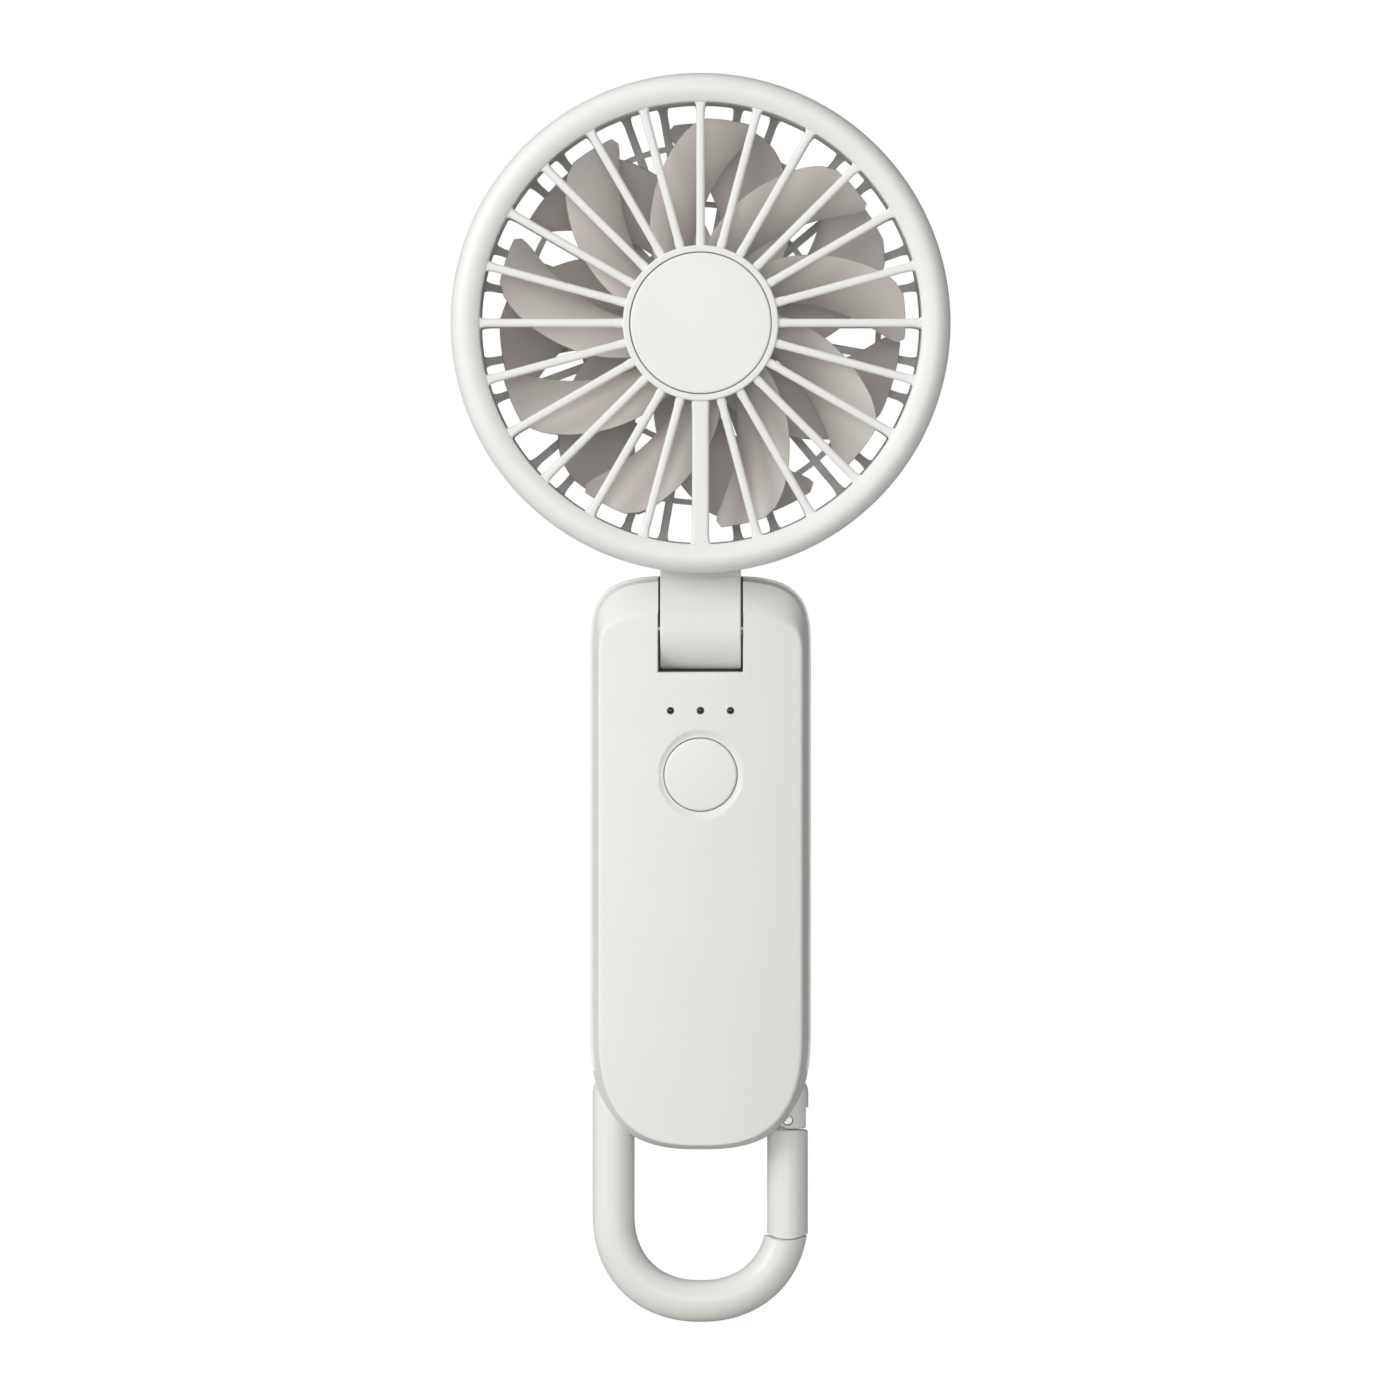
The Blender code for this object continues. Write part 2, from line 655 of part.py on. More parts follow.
def guard(name, front, sign, spokes, spoke_width, hub_radius, lead_spoke, ribs):
    """One moulded guard: rim with sleeve, spokes, hub with motor plate and bearing tube."""
    centre = (0, 0, HEAD_Z)
    body = turned(name, rim_profile(front, sign), centre, ROUND_STEPS)
    hub = turned("hub", hub_profile(hub_radius, front + sign * HUB_SETBACK, sign), centre, 32)
    face = front + sign * SPOKE_SETBACK
    levels = sorted((face, face + sign * SPOKE_DEPTH))
    start, end = hub_radius - HUB_WALL / 2, HEAD_RADIUS - RIM_WIDTH + 0.0008
    arms = spoked_blocks("arms", spokes, spoke_width, start, end, levels[0], levels[1], lead_spoke)
    join(arms, hub, solver="MANIFOLD")
    for radius in ribs:
        band = (radius - RIB_WIDTH / 2, radius + RIB_WIDTH / 2)
        rib = ring("rib", band[0], band[1], levels[0] + 0.0003, levels[1] - 0.0004, centre, REAR_SPOKES)
        join(arms, rib, solver="MANIFOLD")
    return join(body, arms, solver="MANIFOLD")


def blade(bm, tip, near, far, y_near, y_far, turn):
    """One swept blade, added to the bmesh as its own closed shape.

    near and far give an edge's angle in radians, clockwise from the top, at a radius.
    """
    spans, chords = 5, 3
    root = CUP_RADIUS - 0.0006

    def camber(s, c):
        radius = root + s * (tip - root)
        pinch = 0.10 * max(0.0, (s - 0.8) / 0.2) ** 2
        share = pinch + c * (1 - 2 * pinch)
        start, end = near(radius), far(radius)
        angle = start + share * (end - start) + turn
        bow = 0.0007 * math.sin(math.pi * share)
        y = y_near + share * (y_far - y_near) + bow * math.copysign(1, y_near)
        return Vector((radius * math.sin(angle), y, HEAD_Z + radius * math.cos(angle)))

    sides = ([], [])
    for i in range(spans + 1):
        for j in range(chords + 1):
            s, c = i / spans, j / chords
            along = camber(min(s + 0.01, 1), c) - camber(max(s - 0.01, 0), c)
            across = camber(s, min(c + 0.01, 1)) - camber(s, max(c - 0.01, 0))
            normal = along.cross(across).normalized()
            thin = BLADE_THICKNESS / 2 * (0.55 + 0.45 * math.sin(math.pi * c))
            for side, sign in zip(sides, (1, -1)):
                lift = normal if i else Vector((0, math.copysign(1, normal.y), 0))
                side.append(bm.verts.new(camber(s, c) + sign * thin * lift))
    columns = chords + 1
    for side, flip in zip(sides, (False, True)):
        for i in range(spans):
            for j in range(chords):
                a, b = i * columns + j, (i + 1) * columns + j
                quad = [side[a], side[a + 1], side[b + 1], side[b]]
                bm.faces.new(quad[::-1] if flip else quad)
    border = [j for j in range(chords)]
    border += [i * columns + chords for i in range(spans)]
    border += [spans * columns + j for j in range(chords, 0, -1)]
    border += [i * columns for i in range(spans, 0, -1)]
    for a, b in zip(border, border[1:] + border[:1]):
        bm.faces.new((sides[0][b], sides[0][a], sides[1][a], sides[1][b]))


def rotor(name, sign, tip, blades, near, far, surface, parent):
    """A rotor cup, open towards its motor, with its ring of blades."""
    centre = (0, 0, HEAD_Z)
    open_end = sign * CUP_OPEN
    closed_end = sign * CUP_CLOSED
    floor = sign * CUP_FLOOR
    boss = SHAFT_RADIUS + BEARING_GAP
    profile = [
        (CUP_RADIUS, open_end),
        (CUP_RADIUS, closed_end),
        (boss, closed_end),
        (boss, floor + sign * 0.0010),
        (boss + 0.0012, floor + sign * 0.0010),
        (boss + 0.0012, floor),
        (CUP_RADIUS - CUP_WALL, floor),
        (CUP_RADIUS - CUP_WALL, open_end),
    ]
    cup = turned(name, profile, centre, 32)
    bm = bmesh.new()
    near_y, far_y = sorted((sign * BLADE_OUTER, sign * (BLADE_OUTER - BLADE_CHORD_DEPTH)))
    for i in range(blades):
        blade(bm, tip, near, far, near_y, far_y, 2 * math.pi * i / blades)
    join(cup, object_from("blades", bm))
    return finish(cup, surface, parent)


def front_near(radius):
    return math.radians(4.3 + 1534 * (radius - BLADE_START))


def front_far(radius):
    return math.radians(34.1 + 1050 * (radius - BLADE_START))


def rear_near(radius):
    return math.radians(60.8 - 1900 * (radius - BLADE_START))


def rear_far(radius):
    return math.radians(18.4 - 1445 * (radius - BLADE_START))


def spoked_blocks(name, count, width, start, end, low, high, wide=None):
    """Blocks that stand round the head's axis like spokes; wide is the lowest one's width."""
    bm = bmesh.new()
    for i in range(count):
        across = wide if wide and i == count // 2 else width
        turn = Matrix.Rotation(2 * math.pi * i / count, 4, "Y")
        move = Matrix.Translation((0, (low + high) / 2, (start + end) / 2))
        place = Matrix.Translation((0, 0, HEAD_Z)) @ turn @ move
        size = Matrix.Diagonal((across, high - low, end - start, 1))
        bmesh.ops.create_cube(bm, size=1, matrix=place @ size)
    return object_from(name, bm)


def stator(name, low, high, surface, parent):
    """A stack of toothed iron plates: nine T-shaped teeth round a ring."""
    bore = SHAFT_RADIUS + 2 * BEARING_GAP + BUSH_WALL + TUBE_WALL + FIT
    core, shoe = bore + 0.0014, STATOR_RADIUS - 0.0010
    body = ring(name, bore, core, low, high, (0, 0, HEAD_Z), 36)
    stem, tooth = 0.0016, 0.0048
    stems = spoked_blocks("stems", STATOR_TEETH, stem, core - 0.0005, shoe + FIT, low + FIT, high - FIT)
    shoes = spoked_blocks("shoes", STATOR_TEETH, tooth, shoe, STATOR_RADIUS - FIT, low, high)
    return finish(join(body, join(stems, shoes)), surface, parent)


def motor(side, sign, stands, spins):
    """The pieces of one motor; its closed rotor faces the middle of the head."""
    centre = (0, 0, HEAD_Z)
    still, turning = stands, spins
    bush_bore = SHAFT_RADIUS + BEARING_GAP
    tube_bore = bush_bore + BUSH_WALL
    tube = tube_bore + BEARING_GAP + TUBE_WALL
    plate = sign * PLATE_Y
    board = sorted((plate - sign * FIT, plate - sign * (FIT + MOTOR_BOARD)))
    disc = ring(f"{side}_motor_board", tube + FIT, STATOR_RADIUS, board[0], board[1], centre, 32)
    finish(disc, BOARD_GREEN, still)
    iron = sorted((plate - sign * (2 * FIT + MOTOR_BOARD), sign * STATOR_END))
    stator(f"{side}_stator", iron[0], iron[1], IRON, still)
    bush = sorted((plate, sign * BUSH_END))
    finish(ring(f"{side}_bush", bush_bore, tube_bore, bush[0], bush[1], centre, 24), BRONZE, still)
    magnet_outer = CUP_RADIUS - CUP_WALL - BEARING_GAP
    magnet = sorted((sign * (CUP_OPEN - 0.0004), sign * MAGNET_END))
    magnet_inner = magnet_outer - MAGNET_WALL
    band = ring(f"{side}_magnet_ring", magnet_inner, magnet_outer, magnet[0], magnet[1], centre, 36)
    finish(band, MAGNET, turning)
    groove, half_groove = sign * GROOVE_Y, sign * 0.0003
    end = groove + sign * 0.0010
    shaft_profile = [
        (0, sign * SHAFT_END),
        (SHAFT_RADIUS, sign * SHAFT_END),
        (SHAFT_RADIUS, groove - half_groove),
        (SHAFT_RADIUS * SHAFT_GROOVE, groove - half_groove),
        (SHAFT_RADIUS * SHAFT_GROOVE, groove + half_groove),
        (SHAFT_RADIUS, groove + half_groove),
        (SHAFT_RADIUS, end),
        (0, end),
    ]
    finish(turned(f"{side}_shaft", shaft_profile, centre, 20), STEEL, turning)
    keeper_bore = SHAFT_RADIUS * SHAFT_GROOVE + 0.0001
    keeper_ends = (groove - abs(half_groove) / 2, groove + abs(half_groove) / 2)
    keeper = ring(f"{side}_shaft_ring", keeper_bore, SHAFT_RING_RADIUS, *keeper_ends, centre, 20)
    finish(keeper, STEEL, turning)


def hub_cap(name, radius, front, sign, surface, parent):
    edge = radius - HUB_WALL - FIT
    profile = [
        (0, front),
        (edge - 0.0004, front + sign * 0.0001),
        (edge, front + sign * 0.0006),
        (edge, front + sign * CAP_THICKNESS),
        (0, front + sign * CAP_THICKNESS),
    ]
    return finish(turned(name, profile, (0, 0, HEAD_Z), 32), surface, parent)


def power_button(surface, parent):
    """A round key: visible disc, flange behind the shell's wall, stem to the switch."""
    inner_wall = WALL + 0.0004
    stem_end = BOARD_FRONT - FIT - SWITCH_HEIGHT - PLUNGER_HEIGHT - BUTTON_TRAVEL - 0.0001 - FRONT
    profile = [
        (0, 0.00015),
        (BUTTON_RADIUS - 0.0004, 0.00030),
        (BUTTON_RADIUS, 0.00070),
        (BUTTON_RADIUS, inner_wall),
        (BUTTON_RADIUS + 0.0009, inner_wall),
        (BUTTON_RADIUS + 0.0009, inner_wall + 0.0006),
        (0.0015, inner_wall + 0.0006),
        (0.0015, stem_end),
        (0, stem_end),
    ]
    return finish(turned("power_button", profile, (0, FRONT, BUTTON_Z), 32), surface, parent)


def button_switch(surface, parent):
    high = BOARD_FRONT - FIT
    low = high - SWITCH_HEIGHT
    body = box("button_switch", (-0.0022, low, BUTTON_Z - 0.0022), (0.0022, high, BUTTON_Z + 0.0022))
    join(body, rod("plunger", 0.0009, low - PLUNGER_HEIGHT, low + 0.0005, (0, 0, BUTTON_Z), 16))
    return finish(body, surface, parent)


def circuit_board(surface, parent):
    """A flat board: narrow beside the screw posts, wide at the charging port."""
    right = HANDLE_WIDTH / 2 - 0.0085
    left = -(HANDLE_WIDTH / 2 - WALL - 0.0010)
    step = PORT_Z + 0.0080
    foot = PORT_Z - PORT_WIDTH / 2 - FIT
    head = HINGE_Z - BARREL_RADIUS - SLOT_GAP - WALL - 2 * FIT
    outline = [(left, foot), (right, foot), (right, head), (-right, head), (-right, step), (left, step)]
    loops = [[Vector((x, y, z)) for x, z in outline] for y in (BOARD_FRONT, BOARD_BACK)]
    return finish(loft("circuit_board", loops), surface, parent)


def board_parts(parent):
    def block(name, x, z, width, height, y_low, y_high, surface):
        low = (x - width / 2, y_low, z - height / 2)
        high = (x + width / 2, y_high, z + height / 2)
        finish(box(name, low, high), surface, parent)

    face = BOARD_FRONT - FIT
    block("control_chip", 0.0, -0.0020, 0.0050, 0.0050, face - 0.0009, face, CHIP)
    block("charge_chip", -0.0060, PORT_Z, 0.0040, 0.0040, face - 0.0009, face, CHIP)
    block("power_inductor", 0.0050, PORT_Z + 0.0020, 0.0046, 0.0046, face - 0.0022, face, CHIP)
    for i in (-1, 0, 1):
        x = i * LAMP_PITCH
        block(f"led_{i + 2}", x, LAMP_Z, 0.0016, 0.0010, face - 0.0006, face, LED_BODY)
        place = (x, FRONT, LAMP_Z)
        profile = [
            (0, 0.0002),
            (LAMP_RADIUS, 0.0002),
            (LAMP_RADIUS, WALL + FIT),
            (0.0011, WALL + FIT),
            (0.0011, face - 0.0006 - FIT - FRONT),
            (0, face - 0.0006 - FIT - FRONT),
        ]
        finish(turned(f"led_window_{i + 2}", profile, place, 12), LENS, parent)


def usb_socket(surface, parent):
    """A metal socket shell with a mouth on the handle's left side and a tongue inside it."""
    mouth = -(HANDLE_WIDTH / 2 - PORT_RECESS - FIT)
    half, tall = PORT_WIDTH / 2, PORT_HEIGHT / 2
    low = (mouth, PORT_Y - tall, PORT_Z - half)
    high = (mouth + PORT_DEPTH, PORT_Y + tall, PORT_Z + half)
    body = box("usb_socket", low, high)
    skin = 0.0003
    inside = box(
        "inside",
        (mouth - 0.001, PORT_Y - tall + skin, PORT_Z - half + skin),
        (mouth + PORT_DEPTH - 0.0012, PORT_Y + tall - skin, PORT_Z + half - skin),
    )
    cut(body, inside)
    tongue = box(
        "tongue",
        (mouth + 0.0008, PORT_Y - 0.00035, PORT_Z - half + 0.0011),
        (mouth + PORT_DEPTH - 0.0006, PORT_Y + 0.00035, PORT_Z + half - 0.0011),
    )
    return finish(join(body, tongue), surface, parent)


def battery(parent):
    width, depth, height = CELL_SIZE
    low = Vector((-width / 2, CELL_Y - depth / 2, CELL_Z - height / 2))
    high = Vector((width / 2, CELL_Y + depth / 2, CELL_Z + height / 2))
    cell = box("battery_cell", low, high)
    bevel = cell.modifiers.new("soft_edges", "BEVEL")
    bevel.width = 0.0010
    bevel.segments = 2
    finish(cell, CELL_WRAP, parent)
    back = BACK - WALL - FIT
    pad = box(
        "battery_pad",
        (-width / 2 + 0.003, back - PAD_THICKNESS, CELL_Z - height / 2 + 0.004),
        (width / 2 - 0.003, back, CELL_Z + height / 2 - 0.004),
    )
    finish(pad, FOAM, parent)
    top = CELL_Z + height / 2
    leads = (("battery_lead_red", -0.003, RED_WIRE), ("battery_lead_black", 0.003, BLACK_WIRE))
    for name, x, surface in leads:
        points = [
            (x, CELL_Y, top + FIT),
            (x, CELL_Y, top + 0.0020),
            (x, CELL_Y - 0.0022, top + 0.0045),
            (x, BOARD_BACK + 0.0026, top + 0.0052),
            (x, BOARD_BACK + FIT, top + 0.0056),
        ]
        lead(name, points, 0.0005, surface, parent)


def shell_screws(parent):
    seat = SCREW_SEAT + FIT
    for i, (x, z) in enumerate(SCREW_PLACES):
        profile = [
            (0, SCREW_TIP),
            (SCREW_RADIUS * 0.6, SCREW_TIP),
            (SCREW_RADIUS, SCREW_TIP + 0.0012),
            (SCREW_RADIUS, seat),
            (SCREW_HEAD_RADIUS, seat),
            (SCREW_HEAD_RADIUS, seat + 0.0010),
            (SCREW_HEAD_RADIUS * 0.7, seat + 0.0015),
            (0, seat + 0.0015),
        ]
        finish(turned(f"shell_screw_{i + 1}", profile, (x, 0, z), 12), STEEL, parent)


def hinge_hardware(handle, head):
    centre = (0, HINGE_Y, HINGE_Z)
    reach = SLOT_HALF + CHEEK - FIT
    finish(rod("hinge_pin", HINGE_PIN_RADIUS, -reach, reach, centre, 20, "X"), STEEL, handle)
    inner, outer, thick = FRICTION_RING
    edge = KNUCKLE_WIDTH / 2
    for name, sides in (("left", (-edge, -edge + thick)), ("right", (edge - thick, edge))):
        washer = ring(f"hinge_friction_ring_{name}", inner, outer, sides[0], sides[1], centre, 24, "X")
        finish(washer, NYLON, head)


def nose_cutter(name, low, high):
    """A block over the clip's nose whose underside has a ridge-shaped groove along X."""
    arc = []
    for i in range(7):
        y = ARM_RADIUS * 1.15 * (i / 3 - 1)
        arc.append((ARM_Y + y, low + NOSE_RIDGE * (1 - (y / ARM_RADIUS) ** 2)))
    side = arc + [(ARM_Y + ARM_RADIUS * 1.15, high), (ARM_Y - ARM_RADIUS * 1.15, high)]
    loops = [[Vector((x, y, z)) for y, z in side] for x in (ARM_X - 0.0065, ARM_X + 0.0065)]
    return loft(name, loops)


def gate_relief(level):
    """A wedge under the stub that gives the gate's inner edge room to rise as it opens."""
    reach = 0.006
    rise = reach * math.tan(GATE_OPENING) * 1.05
    side = [(0, -0.001), (0, 0), (-reach, rise), (-reach, -0.001)]
    ends = (ARM_Y - reach, ARM_Y + reach)
    return loft("relief", [[Vector((ARM_X + x, y, level + z)) for x, z in side] for y in ends])


def clip_frame(surface, parent):
    """The clip's frame: a loop with a gap for the gate, and the bar it swings on."""
    bow_z = CLIP_Z - CLIP_LENGTH + ARM_RADIUS + ARM_X
    steps = 14
    points, radii = round_top(-ARM_X)
    points.append(Vector((-ARM_X, ARM_Y, CLIP_Z)))
    for i in range(steps + 1):
        t = math.pi * i / steps
        across, along = math.cos(t), math.sin(t)
        x = -math.copysign(ARM_X * abs(across) ** (2 / CLIP_POWER), across)
        points.append(Vector((x, ARM_Y, bow_z - ARM_X * along ** (2 / CLIP_POWER))))
    points.append(Vector((ARM_X, ARM_Y, bow_z + 0.004)))
    radii += [ARM_RADIUS] * (len(points) - len(radii))
    frame = swept("clip_frame", points, radii, 16)
    cut(frame, nose_cutter("gap", CLIP_Z - NOSE_DROP, CLIP_Z))
    stub_end = CLIP_Z - GATE_TOP_DROP + FIT
    points, radii = round_top(ARM_X)
    points += [Vector((ARM_X, ARM_Y, CLIP_Z)), Vector((ARM_X, ARM_Y, stub_end))]
    stub = swept("stub", points, radii + [ARM_RADIUS] * 2, 16)
    bar = rod("bar", BAR_RADIUS, -ARM_X, ARM_X, (0, ARM_Y, CLIP_Z), 24, "X")
    join(frame, bar, stub)
    cut(frame, gate_relief(stub_end))
    pin_z = CLIP_Z - GATE_PIN_DROP
    fork = box(
        "fork",
        (ARM_X - 0.006, ARM_Y - FORK_HALF_WIDTH, stub_end - 0.001),
        (ARM_X + 0.006, ARM_Y + FORK_HALF_WIDTH, pin_z + TONGUE_RADIUS + FIT),
    )
    bore, half = GATE_PIN_RADIUS + BEARING_GAP, GATE_PIN_LENGTH / 2 + 0.0002
    cut(frame, fork, rod("pin_hole", bore, -half, half, (ARM_X, ARM_Y, pin_z), 16))
    return finish(frame, surface, parent)


def clip_gate(surface, parent):
    """The sprung gate: round bar, tongue in the frame's fork, groove that meets the nose."""
    radius = ARM_RADIUS - 0.0001
    top = CLIP_Z - GATE_TOP_DROP
    low = CLIP_Z - NOSE_DROP
    centre = (ARM_X, ARM_Y, 0)
    gate = rod("clip_gate", radius, low - 0.001, top, centre, 16, "Z")
    keep = nose_cutter("keep", low + 0.00035, top + 0.001)
    combine(gate, keep, "INTERSECT")
    pin_z = CLIP_Z - GATE_PIN_DROP
    front = ARM_Y - FORK_HALF_WIDTH + 0.0001
    back = front + TONGUE_THICKNESS
    tongue = rod("tongue", TONGUE_RADIUS, front, back, (ARM_X, 0, pin_z), 20)
    web = box("web", (ARM_X - TONGUE_RADIUS, front, top - 0.0025), (ARM_X + TONGUE_RADIUS, back, pin_z))
    join(tongue, web)
    join(gate, tongue)
    bore = GATE_PIN_RADIUS + BEARING_GAP
    cut(gate, rod("pin_hole", bore, front - 0.001, back + 0.001, (ARM_X, 0, pin_z), 16))
    return finish(gate, surface, parent)


def gate_hardware(clip):
    pin_z = CLIP_Z - GATE_PIN_DROP
    centre = (ARM_X, ARM_Y, pin_z)
    half = GATE_PIN_LENGTH / 2
    finish(rod("gate_pin", GATE_PIN_RADIUS, -half, half, centre, 16), STEEL, clip)
    start = -FORK_HALF_WIDTH + 0.0001 + TONGUE_THICKNESS + 0.0002
    inner, outer = GATE_PIN_RADIUS + 0.0003, GATE_PIN_RADIUS + 0.0009
    finish(ring("gate_spring", inner, outer, start, FORK_HALF_WIDTH - 0.0001, centre, 20), STEEL, clip)


def motor_leads(parent):
    """Each motor's lead runs along the lowest spoke, behind it, down to the neck."""
    for side, sign in (("front", -1), ("rear", 1)):
        y = sign * (HEAD_DEPTH / 2 - SPOKE_SETBACK - SPOKE_DEPTH - 0.0011)
        start = HUB_RADIUS + 0.0006 if side == "front" else REAR_HUB_RADIUS + 0.0006
        end = SLEEVE_RADIUS - 0.0010
        points = [
            (0, y, HEAD_Z - start),
            (0, y, HEAD_Z - start - 0.3 * (end - start)),
            (0, y, HEAD_Z - start - 0.7 * (end - start)),
            (0, y, HEAD_Z - end),
        ]
        lead(f"{side}_motor_lead", points, 0.0006, BLACK_WIRE, parent)


clear_scene()
SHELL = material("shell_plastic", (0.80, 0.81, 0.79), 0.55)
GUARD = material("guard_plastic", (0.80, 0.80, 0.78), 0.5)
BLADE = material("blade_plastic", (0.44, 0.40, 0.38), 0.45)
CAP = material("cap_plastic", (0.78, 0.78, 0.76), 0.45)
BUTTON = material("button_plastic", (0.78, 0.79, 0.77), 0.5)
CLIP = material("clip_plastic", (0.72, 0.72, 0.70), 0.4)
LENS = material("lamp_lens", (0.03, 0.03, 0.03), 0.2)
LED_BODY = material("led_body", (0.85, 0.83, 0.70), 0.4)
STEEL = material("steel", (0.60, 0.60, 0.60), 0.3, 1.0)
IRON = material("stator_iron", (0.25, 0.25, 0.27), 0.4, 1.0)
BRONZE = material("bronze_bush", (0.55, 0.38, 0.20), 0.4, 1.0)
MAGNET = material("magnet_ferrite", (0.05, 0.05, 0.05), 0.6)
NYLON = material("nylon", (0.20, 0.20, 0.20), 0.6)
BOARD_GREEN = material("board_laminate", (0.02, 0.16, 0.07), 0.4)
CHIP = material("chip_resin", (0.03, 0.03, 0.03), 0.5)
CELL_WRAP = material("cell_wrap", (0.55, 0.57, 0.60), 0.35)
FOAM = material("foam", (0.10, 0.10, 0.10), 0.95)
RED_WIRE = material("red_wire", (0.50, 0.03, 0.02), 0.5)
BLACK_WIRE = material("black_wire", (0.02, 0.02, 0.02), 0.5)

HANDLE = pivot("handle_middle", (0, 0, 0))
HEAD = pivot("head_hinge_axis", (0, HINGE_Y, HINGE_Z), HANDLE)
FRONT_SPIN = pivot("front_spin_axis", (0, -SPIN_Y, HEAD_Z), HEAD)
REAR_SPIN = pivot("rear_spin_axis", (0, SPIN_Y, HEAD_Z), HEAD)
KEY = pivot("button_axis", (0, FRONT, BUTTON_Z), HANDLE)
CLIP_AXIS = pivot("clip_axis", (0, ARM_Y, CLIP_Z), HANDLE)
GATE_AXIS = pivot("gate_axis", (ARM_X, ARM_Y, CLIP_Z - GATE_PIN_DROP), CLIP_AXIS)

front_shell(SHELL, HANDLE)
rear_shell(SHELL, HANDLE)
shell_screws(HANDLE)
power_button(BUTTON, KEY)
button_switch(CHIP, HANDLE)
circuit_board(BOARD_GREEN, HANDLE)
board_parts(HANDLE)
usb_socket(STEEL, HANDLE)
battery(HANDLE)
hinge_hardware(HANDLE, HEAD)
head_duct(SHELL, HEAD)
front_guard = guard(
    "front_guard", HEAD_FRONT, 1, FRONT_SPOKES, SPOKE_WIDTH, HUB_RADIUS, LEAD_SPOKE_WIDTH, ()
)
finish(front_guard, GUARD, HEAD)
rear_guard = guard(
    "rear_guard", HEAD_BACK, -1, REAR_SPOKES, REAR_SPOKE_WIDTH, REAR_HUB_RADIUS, REAR_SPOKE_WIDTH, RIB_RADII
)
finish(rear_guard, GUARD, HEAD)
hub_cap("front_hub_cap", HUB_RADIUS, HEAD_FRONT + HUB_SETBACK, 1, CAP, HEAD)
hub_cap("rear_hub_cap", REAR_HUB_RADIUS, HEAD_BACK - HUB_SETBACK, -1, CAP, HEAD)
motor("front", -1, HEAD, FRONT_SPIN)
motor("rear", 1, HEAD, REAR_SPIN)
rotor("front_rotor", -1, FRONT_TIP, FRONT_BLADES, front_near, front_far, BLADE, FRONT_SPIN)
rotor("rear_rotor", 1, REAR_TIP, REAR_BLADES, rear_near, rear_far, BLADE, REAR_SPIN)
motor_leads(HEAD)
clip_frame(CLIP, CLIP_AXIS)
clip_gate(CLIP, GATE_AXIS)
gate_hardware(CLIP_AXIS)
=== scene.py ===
# %% [markdown]
# # A pocket electric fan with a folding head
# The real object is a small battery fan: a round guarded head with two rotors that turn
# against each other, a slim moulded handle, and a D-shaped clip with a sprung gate.
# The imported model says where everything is. This script gives it its finished surfaces.
# Each step builds one piece, in metres, in the model's own frame: +Z up the handle, the
# blowing side towards -Y.

# %% Load the frame
import json
import math

import bmesh
import bpy
from mathutils import Matrix, Vector


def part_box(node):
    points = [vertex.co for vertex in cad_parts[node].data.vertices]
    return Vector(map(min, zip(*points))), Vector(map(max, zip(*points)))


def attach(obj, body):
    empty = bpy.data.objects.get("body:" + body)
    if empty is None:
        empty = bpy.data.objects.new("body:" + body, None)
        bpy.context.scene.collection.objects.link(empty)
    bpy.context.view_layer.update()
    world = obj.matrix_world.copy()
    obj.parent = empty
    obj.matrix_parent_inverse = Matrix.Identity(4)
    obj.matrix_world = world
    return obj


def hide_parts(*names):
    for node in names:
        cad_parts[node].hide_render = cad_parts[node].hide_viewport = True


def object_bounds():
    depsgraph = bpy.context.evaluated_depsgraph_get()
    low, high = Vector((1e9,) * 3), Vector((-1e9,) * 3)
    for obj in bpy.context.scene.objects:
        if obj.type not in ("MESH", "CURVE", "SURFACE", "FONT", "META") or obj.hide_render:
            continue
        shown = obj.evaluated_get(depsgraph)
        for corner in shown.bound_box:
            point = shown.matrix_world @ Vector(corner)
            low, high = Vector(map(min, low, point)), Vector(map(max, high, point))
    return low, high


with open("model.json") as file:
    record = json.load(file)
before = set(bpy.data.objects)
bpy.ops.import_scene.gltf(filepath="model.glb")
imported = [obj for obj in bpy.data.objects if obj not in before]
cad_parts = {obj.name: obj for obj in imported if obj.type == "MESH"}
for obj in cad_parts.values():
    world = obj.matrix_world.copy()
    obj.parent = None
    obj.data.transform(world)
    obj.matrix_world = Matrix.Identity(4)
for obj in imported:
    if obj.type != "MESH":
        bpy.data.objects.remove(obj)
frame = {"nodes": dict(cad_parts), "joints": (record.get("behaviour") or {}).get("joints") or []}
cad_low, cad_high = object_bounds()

MM = 0.001
nodes = frame["nodes"]
joints = {joint["name"]: joint for joint in frame["joints"]}
print("loaded", len(nodes), "nodes,", len(joints), "joints, box",
      [round(1000 * (b - a), 1) for a, b in zip(cad_low, cad_high)], "mm")

# %% [markdown]
# ## Places read from the frame
# A piece that fits its neighbours starts from where they are. The corners of each node's
# box and the joints' axes give the few places that everything else is measured from, so
# nothing has to be fitted by eye.

# %% Read the places
shell_low, shell_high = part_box("front_shell")
guard_low, guard_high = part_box("front_guard")
pin_low, pin_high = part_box("hinge_pin")
cap_low, cap_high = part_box("front_hub_cap")
rear_cap_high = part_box("rear_hub_cap")[1]
gate_pin_low, gate_pin_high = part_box("gate_pin")
socket_low, socket_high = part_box("usb_socket")

